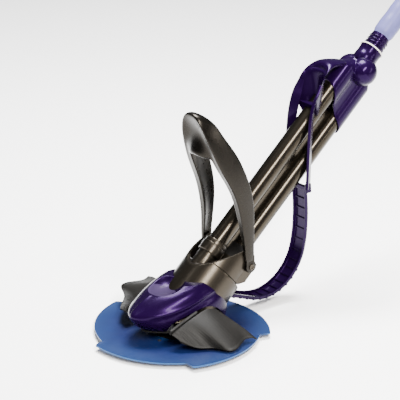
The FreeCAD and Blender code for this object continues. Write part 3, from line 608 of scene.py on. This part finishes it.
def hose_radius(done, length):
    """Wall radius with the soft swelling where the hose is pushed on its connector."""
    swell = math.exp(-((done - 30.0) / 16.0) ** 2)
    neck = math.exp(-(done / 9.0) ** 2)
    far = smooth((done - length + 26.0) / 12.0)
    ripple = 0.25 * math.sin(done / 5.5)
    return HOSE_R - 0.9 + 0.9 * swell - 4.2 * neck - 0.6 * far + ripple


def hose():
    """The taut hose, hollow, from its connector to its far cuff."""
    path = hose_route()
    length = (path[-1] - path[0]).length / MM
    count = 130
    rows = []
    for i in range(count + 1):
        done = length * i / count
        centre = path[0] + (path[-1] - path[0]) * (i / count)
        s = along_of(centre)
        rows.append(circle(hose_radius(done, length), TOP_Q, s, 72))
    inner = [circle(HOSE_R - 5.2, TOP_Q, HOSE_END - (HOSE_END - HOSE_START) * i / 24, 72)
             for i in range(25)]
    tube = piece("hose_tube", skin(rows + inner, loop=True), "swivel", "clear_hose", ["hose"])
    cuff = hose_cuff()


def hose_cuff():
    """Ribbed push-on cuff at the hose's far end."""
    outer = wide_of("hose_far_cuff")
    profile = [(HOSE_R, HOSE_END - 14), (outer - 1, HOSE_END - 14), (outer, HOSE_END - 12)]
    for i in range(6):
        base = HOSE_END - 8 + 7.0 * i
        profile += [(outer, base), (outer - 1.2, base + 1.4), (outer - 1.2, base + 3.2),
                    (outer, base + 4.6)]
    profile += [(outer, HOSE_END + 36), (outer - 0.5, HOSE_END + 42), (19.0, HOSE_END + 42),
                (19.0, HOSE_END), (HOSE_R, HOSE_END)]
    return piece("hose_cuff_ribbed", turned(profile, TOP_Q), "swivel", "hose_cuff",
                 ["hose_far_cuff"], bevel=0.5)


# ---- disc
LOBES = 5
STEP_ANGLE = -30.0
STEP_SHARE = 0.07            # part of each lobe that its step takes
OUTER_R = 211.0
INNER_R = 189.0


def disc_radius(angle):
    """The saw-tooth outline: a slow fall in radius, then a short slanting step out."""
    turn = 360.0 / LOBES
    share = ((math.degrees(angle) - STEP_ANGLE) % turn) / turn
    if share > 1.0 - STEP_SHARE:
        back = smooth((share - 1.0 + STEP_SHARE) / STEP_SHARE)
        return lobe_fall(1.0 - STEP_SHARE) * (1 - back) + lobe_fall(0.0) * back
    return lobe_fall(share)


def lobe_fall(share):
    """Radius along a lobe, from 0 at its step to 1 at the next."""
    return INNER_R + (OUTER_R - INNER_R) * (1.0 - share) ** 1.5


def sealing_disc():
    """The thin disc with a raised bead at its rim, and a black eyelet whose closed floor is painted shade in place
    of the open hole.
    """
    count = 540
    profile = [(0, 0), (0.3, 0), (0.55, 0.1), (0.78, 0.1), (0.9, 0.25), (0.955, 0.5),
               (0.975, 1.1), (0.99, 1.6), (1, 1.5)]
    top, bottom = [], []
    for share, lift in profile:
        row_top, row_low = [], []
        for i in range(count):
            angle = 2 * math.pi * i / count
            radius = 60.0 + (disc_radius(angle) - 60.0) * share
            wave = 0.5 * math.sin(3 * angle + 1.0) * share ** 2
            x, y = radius * math.cos(angle), radius * math.sin(angle)
            row_top.append(P(x, y, DISC_TOP - 0.9 + wave + lift))
            row_low.append(P(x, y, DISC_LOW + max(0.0, wave) + lift * 0.4))
        top.append(row_top)
        bottom.append(row_low)
    rows = top + bottom[::-1]
    piece("disc_sheet", skin(rows, loop=True), "disc", "blue_rubber", ["sealing_disc"], angle=70.0)
    # eyelet: black ring with a closed floor; the floor is painted shade standing in for the hole through the disc
    hole = P(25.0, -78.0, DISC_TOP - 0.6) + P(0, 0, 0.1)
    eyelet = turned_on([(1.6, -0.8), (1.6, 0.2), (2.4, 0.9), (3.6, 0.9), (4.4, 0.3), (4.6, -0.8)],
                       hole, (0, 0, 1))
    piece("disc_eyelet", eyelet, "disc", "black_rubber", bevel=0.2)


# ---- hood
HOOD_LEVELS = [
    # height, half width, front y, rear y
    (38, 74, -102, 103), (50, 77, -120, 105.5), (60, 79, -130, 106),
    (80, 80, -139.5, 103), (98, 77, -121, 96), (114, 71, -93, 82),
    (126, 63, -60, 62), (134, 54, -30, 44)]
HOOD_SMOOTH = curve_through(HOOD_LEVELS, 6)
WIDEST = 0.6
SCOOP_CENTRE = (0, -45, 152)
SCOOP_RADII = (50, 58, 40)
BARREL_R = wide_of("lower_housing")
BARREL_Q = -31.0
ARCH = [(-110, 38), (-98, 46), (-88, 57), (-60, 68), (-30, 78), (0, 86), (20, 88), (36, 85),
        (52, 75), (66, 58), (78, 44), (90, 38)]
CREASE = [(-140, 86), (-120, 84), (-100, 84), (-70, 88), (-40, 94), (-10, 102), (20, 110),
          (50, 114), (90, 112)]


def columns_at(table, key, wanted, value):
    """Straight-line values of some columns where the key column has a value."""
    return [at_value([(row[key], row[k]) for row in table], value) for k in wanted]


def hood_outline(angle, z):
    """x and y of the hood's outside at an angle and height."""
    half, front, rear = columns_at(HOOD_SMOOTH, 0, (1, 2, 3), z)
    middle = front + WIDEST * (rear - front)
    c, s = math.cos(angle), math.sin(angle)
    power = 1.15 if s < 0 else 0.6
    x = half * math.copysign(abs(c) ** power, c)
    if s < 0:
        return x, middle - (middle - front) * abs(s) ** power
    return x, middle + (rear - middle) * s ** power


def hood_point(angle, z):
    """A point on the hood with its flute, crease and nose keel."""
    x, y = hood_outline(angle, z)
    side = smooth((abs(x) - 18.0) / 30.0)
    line = at_value(CREASE, y)
    above = z - line
    fade = smooth((y + 142.0) / 40.0) * smooth((78.0 - y) / 50.0)
    flute = -3.6 * math.exp(-((above + 9.0) / 9.0) ** 2)
    ridge = 1.8 * math.exp(-((above - 2.0) / 4.5) ** 2)
    out = (flute + ridge) * side * fade
    keel = 1.6 * math.exp(-(x / 5.0) ** 2) * smooth((-60.0 - y) / 40.0) * smooth((z - 66.0) / 14.0)
    direction = Vector((x, 1.3 * (y + 15.0), 0.0)).normalized()
    point = Vector((x, y, z)) + direction * out + Vector((0.0, -keel * 0.5, keel))
    return scooped(point)


def scooped(point):
    """Points inside the scoop's ellipsoid drop to its floor."""
    cx, cy, cz = SCOOP_CENTRE
    rx, ry, rz = SCOOP_RADII
    flat = ((point.x - cx) / rx) ** 2 + ((point.y - cy) / ry) ** 2
    if flat < 1.0:
        floor = cz - rz * math.sqrt(1.0 - flat)
        if floor < point.z:
            point.z = floor
    return point


def in_barrel(point):
    """Whether a point (in millimetres) lies inside the barrel, above where the hood wraps it."""
    reach = math.hypot(point.x, point.dot(ACROSS) - BARREL_Q)
    floor = 84.0 if point.y < 60.0 else 50.0
    return reach < BARREL_R + 0.6 and point.z > floor


def hood_column(angle, steps, inner):
    """One strip of the hood: up its side, then inwards, ending at the barrel."""
    x, y = hood_outline(angle, 62.0)
    low = 38.0 + (at_value(ARCH, y) - 38.0) * smooth((abs(x) - 40.0) / 25.0)
    top_level = HOOD_LEVELS[-1][0]
    column = [hood_point(angle, low + (top_level - low) * i / steps) for i in range(steps + 1)]
    rim = column[-1].copy()
    rim.z = top_level
    for i in range(1, inner + 1):
        column.append(scooped(rim.lerp(Vector((0.0, 30.0, top_level)), i / inner)))
    for index, point in enumerate(column):
        if in_barrel(point):
            outside, inside = column[max(0, index - 1)], point
            for _ in range(14):
                middle = (outside + inside) / 2
                if in_barrel(middle):
                    inside = middle
                else:
                    outside = middle
            return column[:index] + [outside.copy() for _ in column[index:]]
    return column


def front_hood():
    """The hood's shell with its wing arches, crease, keel and scoop."""
    count, steps, inner = 260, 56, 26
    columns = [hood_column(2 * math.pi * (i + 0.5) / count, steps, inner) for i in range(count)]
    rows = [[column[k] * MM for column in columns] for k in range(steps + inner + 1)]
    mesh = skin(rows, caps=False)
    bmesh.ops.remove_doubles(mesh, verts=mesh.verts[:], dist=0.00003)
    obj = piece("hood_shell", mesh, "body", "purple_moulding", ["front_hood", "hood_window"],
                angle=75.0, look=HOOD_PURPLE)
    walled(obj, 2.6)


# ---- barrel
RIM_FRONT_S = 132.0
RIM_SLOPE = 1.87
SEAM_S = 161.0
LIP = [(0, -1.6), (0.35, -0.6), (1.1, 0), (1.9, -0.1), (6, -2.4), (6.6, -3.2), (6.8, -4.4)]


def rim_s(q):
    """Height of the barrel's slanting mouth."""
    return RIM_FRONT_S + RIM_SLOPE * (q - BARREL_Q + BARREL_R)


def barrel_row(radius, place):
    """A ring on the barrel; place gives s from the point's q."""
    return ring_of(200, BARREL_Q,
                   lambda turn: (radius, place(BARREL_Q - radius * math.cos(turn))))


def barrel():
    """Leaning barrel with a rolled lip round its slanting mouth and a step at the rear seam."""
    def top(q):
        return min(rim_s(q), SEAM_S - 0.5)

    def low(q):
        return (58.0 - q * ACROSS.z) / ALONG.z

    rows = []
    for i in range(25):
        share = i / 25
        rows.append(barrel_row(BARREL_R, lambda q: low(q) + (top(q) - 1.6 - low(q)) * share))
    for inset, rise in LIP:
        rows.append(barrel_row(BARREL_R - inset, lambda q: top(q) + rise))
    for i in range(8):
        share = 1 - i / 8
        rows.append(barrel_row(BARREL_R - 6.8, lambda q: low(q) + (top(q) - 6 - low(q)) * share))
    piece("barrel_shell", skin(rows, loop=True), "body", "titanium_moulding",
          ["lower_housing"], angle=50.0)


def barrel_floor():
    """Dark dished liner low in the barrel, round the outlet."""
    inner = BARREL_R - 6.6
    profile = [(2, 96), (inner * 0.6, 97.5), (inner, 104.0), (inner, 101.0),
               (inner * 0.6, 94.5), (2, 93)]
    piece("barrel_liner", turned(profile, BARREL_Q), "body", "dark_moulding", bevel=0.4)


# ---- tubes, collar and sleeve
COLLAR_R = wide_of("lock_collar")
COLLAR_S = ends_of("lock_collar", COLLAR_R)[0]


def tube(name, start, q):
    """One drawn tube with eased ends."""
    profile = [(TUBE_R - 0.4, start), (TUBE_R, start + 1.0), (TUBE_R, start + 6.0)]
    steps = 40
    for i in range(1, steps):
        profile.append((TUBE_R, start + 6.0 + (TUBE_END - start - 8.0) * i / steps))
    profile += [(TUBE_R, TUBE_END - 1.0), (TUBE_R - 0.4, TUBE_END), (TUBE_R - 2.5, TUBE_END),
                (TUBE_R - 2.5, start)]
    piece(name + "_drawn", turned(profile, q, 128), "body", "titanium_tube", [name], angle=30.0)


def collar_row(height, inset, outer):
    """A ring of the collar. Its lean fades out towards the top."""
    def shape(turn):
        lean = 2.2 * math.cos(turn) * (1 - height / 36.0)
        return outer + inset, COLLAR_S + height + max(0.0, lean)

    return ring_of(144, FRONT_Q, shape)


def collar():
    """Twist collar: smooth skirt with a slanting lower edge, a step and a drawn-in top."""
    heights = [0.0, 0.8, 2.0, 12.0, 23.4, 24.0, 24.6, 25.2, 34.0, 35.2, 36.0]
    insets = [-0.9, -0.2, 0.0, 0.0, 0.0, -0.3, -1.2, -1.6, -1.6, -2.1, -3.2]
    outer = COLLAR_R + 0.9
    rows = [collar_row(height, inset, outer) for height, inset in zip(heights, insets)]
    for radius, height in ((TUBE_R + 0.3, 36.0), (TUBE_R + 0.3, 8.0), (outer - 3.6, 7.5),
                           (outer - 3.6, 1.0)):
        rows.append(circle(radius, FRONT_Q, COLLAR_S + height, 144))
    piece("collar_ring", skin(rows, loop=True), "collar", "titanium_moulding", ["lock_collar"],
          angle=28.0)


def sleeve_row(share, s):
    """A ring of the sleeve, share of the way up its ramps."""
    def shape(turn):
        ramp = abs(((turn * 6 / (2 * math.pi)) % 1.0) - 0.5) * 2
        lift = 0.7 * smooth((ramp - share * 0.9) / 0.4) * (1 - share)
        return 24.2 + 1.6 * (1 - share) ** 3 + lift, s

    return ring_of(180, FRONT_Q, shape)


def sleeve():
    """Outlet sleeve with six bayonet ramps fanning out below the collar."""
    low = ends_of("cassette_body", 26.5)[1]
    top = COLLAR_S + 2.6
    rows = [sleeve_row(i / 18, low + (top - low) * (i / 18)) for i in range(19)]
    for s in (top, low):
        rows.append(circle(20.0, FRONT_Q, s, 180))
    piece("sleeve_ramps", skin(rows, loop=True), "body", "titanium_moulding",
          ["outlet_sleeve", "cassette_latch"], angle=30.0)


# ---- shroud, domes and neck
SHROUD_R = wide_of("top_shroud")
SHROUD_TOP = 733.0
SHROUD_SEAM = 660.0
SEAM_LEAN = -0.6
DOME_R = 34.0
DOME_X = 20.5
DOME_S = 756.0
NECK_R = wide_of("neck_sleeve")


def shroud_section(radius, waist, count=40):
    """Half-width against q round both tubes: two lobes and a soft waist."""
    points = []
    for i in range(count + 1):
        share = i / count
        q = FRONT_Q - radius + (REAR_Q - FRONT_Q + 2 * radius) * (0.5 - 0.5 * math.cos(math.pi * share))
        front = max(0.0, radius ** 2 - (q - FRONT_Q) ** 2) ** 0.5
        rear = max(0.0, radius ** 2 - (q - REAR_Q) ** 2) ** 0.5
        wide = max(front, rear)
        if FRONT_Q < q < REAR_Q:
            wide = (wide ** 6 + waist ** 6) ** (1 / 6)
        points.append((min(wide, radius), q))
    right = points
    left = [(-x, q) for x, q in reversed(points[1:-1])]
    return right + left


def shroud_row(radius, waist, place):
    """A ring round both tubes; place gives s from the point's q."""
    return [T(x, q, place(q)) for x, q in shroud_section(radius, waist)]


def shroud():
    """Purple sleeve over both tubes with a rolled, slanting lower edge."""
    def seam(q):
        bow = 3.5 * math.sin(math.pi * (q - FRONT_Q) / (REAR_Q - FRONT_Q))
        return SHROUD_SEAM + SEAM_LEAN * (q - FRONT_Q) - bow

    rows = []
    for radius, rise in ((24, 6), (24, 0.6), (25.2, 0), (26.2, 0), (26.8, 0.8),
                         (SHROUD_R, 2.4)):
        rows.append(shroud_row(radius, radius - 6.5, lambda q: seam(q) + rise))
    for i in range(1, 14):
        share = i / 13
        rows.append(shroud_row(SHROUD_R, 20.5,
                               lambda q: seam(q) + 2.4 + (SHROUD_TOP - seam(q) - 2.4) * share))
    mesh = skin(rows, caps=False)
    piece("shroud_shell", mesh, "body", "purple_moulding", ["top_shroud"], angle=50.0)


def shoulder():
    """The shroud's top drawing in to the domes."""
    rows = []
    centre_q = (FRONT_Q + REAR_Q) / 2
    for i in range(15):
        share = i / 14
        squeeze = smooth(share)
        narrow = 1.0 - 0.42 * squeeze
        wide = 1.0 - 0.25 * squeeze
        row = []
        for x, q in shroud_section(SHROUD_R + 0.6, 21.0):
            row.append(T(x * wide, centre_q + (q - centre_q) * narrow + (TOP_Q - centre_q) * squeeze,
                         SHROUD_TOP - 1.5 + 36.0 * share))
        rows.append(row)
    return skin(rows)


def dome(side):
    """One ball of the manifold, with a faint parting bead round it."""
    profile = []
    count = 40
    for i in range(1, count):
        angle = math.pi * i / count
        bead = 0.5 * math.exp(-((angle - math.pi / 2) / 0.035) ** 2)
        profile.append(((DOME_R + bead) * math.sin(angle), -DOME_R * math.cos(angle)))
    centre = T(side * DOME_X, TOP_Q, DOME_S)
    return turned_on(profile, centre, SIDE * 0.35 * side + ALONG, 80)


def manifold():
    """Two domes and a shoulder, melted into one skin."""
    mesh = join([shoulder(), dome(1), dome(-1)])
    obj = piece("manifold_domes", mesh, "body", "purple_moulding", ["manifold"], angle=50.0)
    remesh = obj.modifiers.new("melt", "REMESH")
    remesh.mode = "VOXEL"
    remesh.voxel_size = 0.0011
    remesh.use_smooth_shade = True
    ease = obj.modifiers.new("ease", "SMOOTH")
    ease.factor = 0.6
    ease.iterations = 7


def neck():
    """Neck sleeve with a flared foot, a waist and a rolled mouth."""
    high = ends_of("neck_sleeve", NECK_R)[1]
    profile = [(NECK_R - 4.0, high), (NECK_R - 0.8, high), (NECK_R, high - 0.8),
               (NECK_R, high - 6.0), (NECK_R - 0.7, high - 7.0), (NECK_R - 0.7, high - 24.0),
               (NECK_R, high - 26.0), (NECK_R, high - 40.0), (NECK_R - 3.5, high - 46.0),
               (NECK_R - 4.0, high - 46.0)]
    piece("neck_turned", turned(profile, TOP_Q), "body", "purple_moulding", ["neck_sleeve"],
          bevel=0.3)
    ring = wide_of("retaining_ring")
    start, end = ends_of("retaining_ring", ring)[:2]
    bead = []
    for i in range(16):
        angle = 2 * math.pi * i / 16
        middle = (start + end) / 2
        bead.append((ring - 1.5 + 1.3 * math.cos(angle), middle + 1.4 * math.sin(angle)))
    piece("ring_bead", turned(bead, TOP_Q), "body", "acetal_white", ["retaining_ring"])


def connector():
    """Swivel connector with three rounded hose ribs."""
    outer = wide_of("hose_connector")
    start = HOSE_START - 35.5
    profile = [(18.0, start - 27.0), (21.9, start - 27.0), (21.9, start), (outer - 0.6, start),
               (outer, start + 0.6), (outer, start + 3.0), (outer - 0.8, start + 3.6),
               (23.2, start + 5.0)]
    for index in range(3):
        base = start + 7.0 + 8.5 * index
        for k in range(9):
            share = k / 8
            profile.append((23.2 + 2.4 * math.sin(math.pi * share), base + 5.4 * share))
    profile += [(23.2, HOSE_START + 1.5), (19.9, HOSE_START + 2.0), (19.4, HOSE_START + 42.0),
                (18.0, HOSE_START + 42.0)]
    piece("connector_ribbed", turned(profile, TOP_Q), "swivel", "purple_moulding",
          ["hose_connector"], angle=40.0)


# ---- safety strap
STRAP_TURN = math.radians(33.0)
ARM_STOPS = [
    # x, y, z, width of the arm's middle line, from the hood down
    (33, 401, 520, 14), (33.5, 392, 502, 20), (32.5, 382, 480, 23),
    (32.5, 373, 445, 22.5), (33.5, 369, 400, 21.5), (33.5, 367, 350, 21),
    (32.5, 367, 305, 21), (30, 368.5, 274, 22)]
CAP_STOPS = [
    # y, z, half width, rise of the crown, depth of the dish, facing angle in degrees
    (512, 545, 8, 3, 3, 16), (500, 551, 15, 6, 7, 12),
    (470, 556, 23, 8, 9, 2), (440, 556, 30, 10, 6, -14),
    (416, 546, 35, 11, -2, -36), (401, 529, 38, 10, -5, -56),
    (391, 507, 38.5, 8, -4, -68), (383, 486, 37.5, 6, -2.5, -72)]


def runs_of(stops):
    """The direction at each stop, from the one behind it to the one ahead."""
    points = [Vector(stop[:3]) for stop in stops]
    return [(ahead - behind).normalized()
            for behind, ahead in zip(points[:1] + points, points[1:] + points[-1:])]


def rounded_bar(centre, across, out, width, thick):
    """Eight points round a strip's section."""
    w, t = width / 2, thick / 2
    corners = [(w, t * 0.5), (w * 0.93, t), (-w * 0.93, t), (-w, t * 0.5), (-w, -t * 0.5),
               (-w * 0.93, -t), (w * 0.93, -t), (w, -t * 0.5)]
    return [(centre + across * a + out * b) * MM for a, b in corners]


def strap_arm():
    """The right arm: a strip along its stops."""
    rows = []
    across = Vector((math.sin(STRAP_TURN), -math.cos(STRAP_TURN), 0.0))
    stops = curve_through(ARM_STOPS, 5)
    for (x, y, z, width), run in zip(stops, runs_of(stops)):
        level = (across - run * across.dot(run)).normalized()
        rows.append(rounded_bar(Vector((x, y, z)), level, run.cross(level), width, 7.0))
    return skin(rows)


def strap_arms():
    """The right arm and its mirror image."""
    right = strap_arm()
    left = mirrored(right)
    piece("strap_arm_r", right, "body", "purple_moulding", ["strap_arm_right"], bevel=0.5)
    piece("strap_arm_l", left, "body", "purple_moulding", ["strap_arm_left"], bevel=0.5)


def strap_cap():
    """Flared cap, dished underneath, that joins the two arms over the shroud."""
    rows = []
    columns = 20
    stops = curve_through(CAP_STOPS, 5)
    for index, (y, z, half, rise, dish, facing) in enumerate(stops):
        angle = math.radians(facing)
        run = Vector((0.0, math.cos(angle), math.sin(angle)))
        out = Vector((0.0, -math.sin(angle), math.cos(angle)))
        retract = 74.0 * smooth((index / (len(stops) - 1) - 0.45) / 0.55)
        outer, inner = [], []
        for i in range(columns + 1):
            across = -math.cos(math.pi * i / columns)
            crown = max(0.0, 1.0 - across ** 2)
            lip = Vector((half * across, y, z)) + run * (retract * crown)
            outer.append((lip + out * (rise * crown ** 0.6)) * MM)
            inner.append((lip - out * (dish * crown ** 0.6) - out * 1.5) * MM)
        rows.append(outer + inner[::-1])
    piece("strap_cap", skin(rows), "body", "purple_moulding", ["strap_hood"], bevel=1.2,
          angle=60.0)


BAND_STOPS = [(369, 272), (373, 232), (374, 190), (371, 146), (361, 104),
              (342, 72), (316, 48), (284, 33), (250, 28), (216, 33),
              (182, 45), (148, 58), (112, 67)]
BAND_HALF = wide_of("strap_band")


def band_frames(steps):
    """Centre, inward and running directions along the band."""
    stops = [Vector((0.0, y, z)) for y, z in curve_through(BAND_STOPS, steps)]
    return [(stop, run.cross(SIDE), run) for stop, run in zip(stops, runs_of(stops))]


def band():
    """Channel strap: two rounded flanges and a thin web."""
    half, rise, web = BAND_HALF, 4.5, 1.6
    section = [(half, rise * 0.8), (half - 0.8, rise), (half - 3.6, rise), (half - 4.6, rise * 0.7),
               (half - 5.0, -rise + web + 1.0), (half - 6.2, -rise + web), (0.0, -rise + web)]
    outside = [(-half * 0.5, -rise), (half * 0.5, -rise), (half - 1.0, -rise), (half, -rise * 0.7)]
    ring = section + [(-x, r) for x, r in reversed(section[:-1])]
    ring += [(-half, -rise * 0.7), (-half + 1.0, -rise)] + outside
    rows = []
    for stop, inward, _ in band_frames(5):
        rows.append([(stop + SIDE * x + inward * r) * MM for x, r in ring])
    piece("strap_channel", skin(rows), "body", "purple_moulding", ["strap_band"], angle=32.0)
    rungs()


def block(centre, a, b, c):
    """A box from its centre and three half-edge vectors, in millimetres."""
    mesh = bmesh.new()
    corners = {(i, j, k): mesh.verts.new((centre + a * i + b * j + c * k) * MM)
               for i, j, k in product((-1, 1), repeat=3)}
    for sign in (-1, 1):
        for faces in ([(sign, -1, -1), (sign, 1, -1), (sign, 1, 1), (sign, -1, 1)],
                      [(-1, sign, -1), (-1, sign, 1), (1, sign, 1), (1, sign, -1)],
                      [(-1, -1, sign), (1, -1, sign), (1, 1, sign), (-1, 1, sign)]):
            mesh.faces.new([corners[key] for key in faces])
    bmesh.ops.recalc_face_normals(mesh, faces=mesh.faces[:])
    return mesh


def rungs():
    """Rungs inside the channel, and thumb ribs outside its lower run."""
    frames = band_frames(5)
    parts = []
    for index in range(4, len(frames) - 3, 3):
        stop, inward, run = frames[index]
        parts.append(block(stop - inward * 1.2, SIDE * (BAND_HALF - 5.4), inward * 1.6, run * 1.1))
        if index > 24:
            for side in (-1, 1):
                parts.append(block(stop + SIDE * side * (BAND_HALF - 1.2) - inward * 1.2,
                                   SIDE * 1.8, inward * 4.2, run * 3.0))
    piece("strap_rungs", join(parts), "body", "purple_moulding", bevel=0.5)


def junction():
    """Cross bar with two side clips where the arms meet the band."""
    low, high = [Vector(corner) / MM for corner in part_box("strap_junction")]
    middle = (low + high) / 2
    parts = [block(middle, SIDE * ((high.x - low.x) / 2 - 1.0), Vector((0, 5, 0)),
                   Vector((0, 0, 5)))]
    for side in (-1, 1):
        tab = Vector((side * (high.x - 3.5), middle.y + 2.0, middle.z + 1.0))
        parts.append(block(tab, SIDE * 3.6, Vector((0, 8, 0)), Vector((0, -1, 11.5))))
    piece("strap_clips", join(parts), "body", "purple_moulding", ["strap_junction"], bevel=1.5)


# ---- wings
WING_ROOT = [(84, -91, 52), (86, -70, 62), (86.5, -46, 71), (87, -16, 81),
             (89, 10, 87), (96, 32, 82)]
WING_EDGE = [(106, -80, 38), (128, -53, 23), (150, -22, 20.5),
             (180, -4, 20), (184, 18, 21), (168, 56, 26), (175, 85, 24)]


def sampled(points, count):
    """Points evenly taken from the curve through a few."""
    dense = curve_through(points, 24)
    return [Vector(dense[round(i * (len(dense) - 1) / count)]) for i in range(count + 1)]


def wing_top():
    """The wing's upper surface, with ribs near its front edge and a raised hem."""
    across, out = 96, 40
    root = sampled(WING_ROOT, across)
    edge = sampled(WING_EDGE, across)
    rows = []
    for j in range(out + 1):
        v = j / out
        row = []
        for i in range(across + 1):
            u = i / across
            point = root[i].lerp(edge[i], v)
            arch = 3.5 * math.sin(math.pi * v) * (0.35 + 0.65 * math.sin(math.pi * u))
            ribs = sum(1.3 * math.exp(-((u - centre) / 0.018) ** 2)
                       for centre in (0.10, 0.17, 0.25)) * smooth(v * 6) * smooth((1.05 - v) * 3)
            hem = 1.2 * math.exp(-((v - 0.985) / 0.02) ** 2)
            curl = -3.0 * smooth((u - 0.93) / 0.07) * smooth((v - 0.7) / 0.3)
            point.z += arch + ribs + hem + curl
            row.append(point * MM)
        rows.append(row)
    return skin(rows, ring=False)


LEFT_LIFT = math.radians(21.0)


def lifted_left(mesh):
    """Turns the mirrored wing up about its hinge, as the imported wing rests."""
    pivot = Vector(joints["wing_left_lift"]["pos_m"])
    axis = Vector(joints["wing_left_lift"]["axis"])
    turn = Matrix.Rotation(LEFT_LIFT, 3, axis)
    bmesh.ops.rotate(mesh, verts=mesh.verts[:], cent=pivot, matrix=turn)
    return mesh


def wings():
    """Both soft wings, with their wall and eased edges."""
    right = wing_top()
    left = lifted_left(mirrored(right))
    for name, mesh in (("wing_right", right), ("wing_left", left)):
        obj = piece(name + "_soft", mesh, name, "wing_rubber", [name], angle=80.0)
        walled(obj, 2.8)
        bevelled(obj, 0.7, 2, 60)


# ---- handle
LEG_STOPS = [
    # y, z, inner x, outer x, half depth, lean of the section in degrees
    (148, 158, 71.6, 79.4, 12.5, 0), (145.5, 178, 71.4, 79.4, 13, 0),
    (145, 200, 71, 79, 14, 0), (145, 245, 67, 76, 17, 2),
    (142, 290, 64, 74, 22, 8), (132, 333, 60, 72, 24, 18),
    (116, 372, 55, 68, 26, 28), (98, 408, 47, 62, 28.5, 36)]
TOP_STOPS = [
    # front-low, front-top, back-top and back-low corners, right half, leg to middle
    ((37, 62, 418), (49, 50, 452), (50, 86, 474), (36, 114, 446)),
    ((29, 54, 415), (39, 38, 490), (40, 78, 498), (28, 121, 436)),
    ((19, 46, 417), (27, 33, 514), (28, 68, 512), (18, 122, 431)),
    ((8, 40, 421), (11, 31.5, 525), (12, 60, 519.5), (8, 120, 430))]
HOLLOW = [2.5, 12.0, 21.0, 26.0]


def leg_corners(stop):
    """Front-in, front-out, back-out and back-in corners of a leg's section."""
    y, z, inner, outer, half, lean = stop
    tilt = math.radians(lean)
    depth = Vector((0.0, math.cos(tilt), math.sin(tilt))) * half
    centre = Vector((0.0, y, z))
    rim = 9.0 * smooth((z - 175.0) / 60.0)
    return (centre - depth + SIDE * (inner - rim), centre - depth + SIDE * outer,
            centre + depth + SIDE * outer, centre + depth + SIDE * inner)


def handle_loop(corners, front_dent, inner_dent, outer_bulge):
    """Twelve points round a section, pulled in or out at the middle of each side."""
    a, b, c, d = corners
    loop = []
    for start, end, dent in ((a, b, front_dent), (b, c, outer_bulge), (c, d, 0.0),
                             (d, a, inner_dent)):
        centre = (a + b + c + d) / 4
        middle = (start + end) / 2
        pull = (centre - middle).normalized() * dent
        loop += [start.lerp(end, 0.08), middle + pull, start.lerp(end, 0.92)]
    return loop


def handle_half():
    """Section loops from the right foot up to the middle of the grip."""
    loops = []
    for index, stop in enumerate(LEG_STOPS):
        hollow = 3.0 if 1 < index < 7 else 0.0
        loops.append(handle_loop(leg_corners(stop), 1.0, hollow, -1.2))
    for corners, dent in zip(TOP_STOPS, HOLLOW):
        loops.append(handle_loop([Vector(corner) for corner in corners], dent, 0.0, -2.5))
    return loops


def handle_bow():
    """The handle's bow, mirrored about X = 0."""
    half = handle_half()
    other = [[Vector((-point.x, point.y, point.z)) for point in loop] for loop in reversed(half)]
    rows = [[point * MM for point in loop] for loop in half + other]
    piece("handle_bow", skin(rows), "handle", "titanium_moulding", ["handle"], levels=3,
          look=SHADED_HANDLE_TITANIUM)


def handle_feet():
    """Round feet on the pivots, each with a boss and a web up to the leg."""
    parts = []
    for side in (-1, 1):
        hub = Vector((side * 75.5, PIVOT.y, PIVOT.z))
        profile = [(5.2, -4), (13.6, -4), (14.8, -3.2), (15, 0), (14.8, 3.2),
                   (13.6, 4), (9, 4), (8.4, 4.6), (5.4, 4.6)]
        parts.append(turned_on(profile, hub * MM, SIDE * side))
        parts.append(block(hub + Vector((0, -2, 14)), SIDE * 3.9, Vector((0, 12, 0)),
                           Vector((0, 0, 12))))
    piece("handle_feet", join(parts), "handle", "titanium_moulding", bevel=0.9,
          look=SHADED_HANDLE_TITANIUM)


def leg_ribs():
    """Slanting ribs in the hollow of each leg."""
    parts = []
    for side in (-1, 1):
        for index in range(7):
            z = 192.0 + 26.0 * index
            y, inner, half = columns_at(LEG_STOPS, 1, (0, 2, 4), z)
            slope = math.radians(38.0)
            run = Vector((0.0, math.cos(slope), math.sin(slope)))
            parts.append(block(Vector((side * (inner + 1.2), y, z)), SIDE * 1.8, run * (half - 2.5),
                               run.cross(SIDE) * 1.1))
    piece("handle_ribs", join(parts), "handle", "titanium_moulding", bevel=0.5,
          look=SHADED_HANDLE_TITANIUM)


def pins():
    """Pivot pins with domed, recessed heads."""
    parts = []
    for side in (-1, 1):
        head = Vector((side * 80.2, PIVOT.y, PIVOT.z)) * MM
        parts.append(turned_on([(5, -16), (5, 0), (6.9, 0), (7.4, 0.5), (7.4, 1.5),
                                (6.6, 2.2), (3.4, 2.2), (2.8, 1), (0.6, 1)], head, SIDE * side))
    piece("pins_turned", join(parts), "body", "titanium_tube", ["handle_pins"], bevel=0.3)


# ---- stage
def floor():
    """A flat floor for the stage."""
    size = 14.0
    mesh = bmesh.new()
    steps = 6
    grid = [[mesh.verts.new((size * (2 * i / steps - 1), size * (2 * j / steps - 1), 0.0))
             for j in range(steps + 1)] for i in range(steps + 1)]
    for i in range(steps):
        for j in range(steps):
            mesh.faces.new((grid[i][j], grid[i + 1][j], grid[i + 1][j + 1], grid[i][j + 1]))
    data = bpy.data.meshes.new("floor")
    mesh.to_mesh(data)
    mesh.free()
    data.materials.append(floor_paper())
    placed("floor", data)


studio()
floor()
dress_frame()
hose()
sealing_disc()
front_hood()
barrel()
barrel_floor()
tube("front_tube", FRONT_START, FRONT_Q)
tube("rear_tube", REAR_START, REAR_Q)
collar()
sleeve()
shroud()
manifold()
neck()
connector()
strap_arms()
strap_cap()
band()
junction()
wings()
handle_bow()
handle_feet()
leg_ribs()
pins()
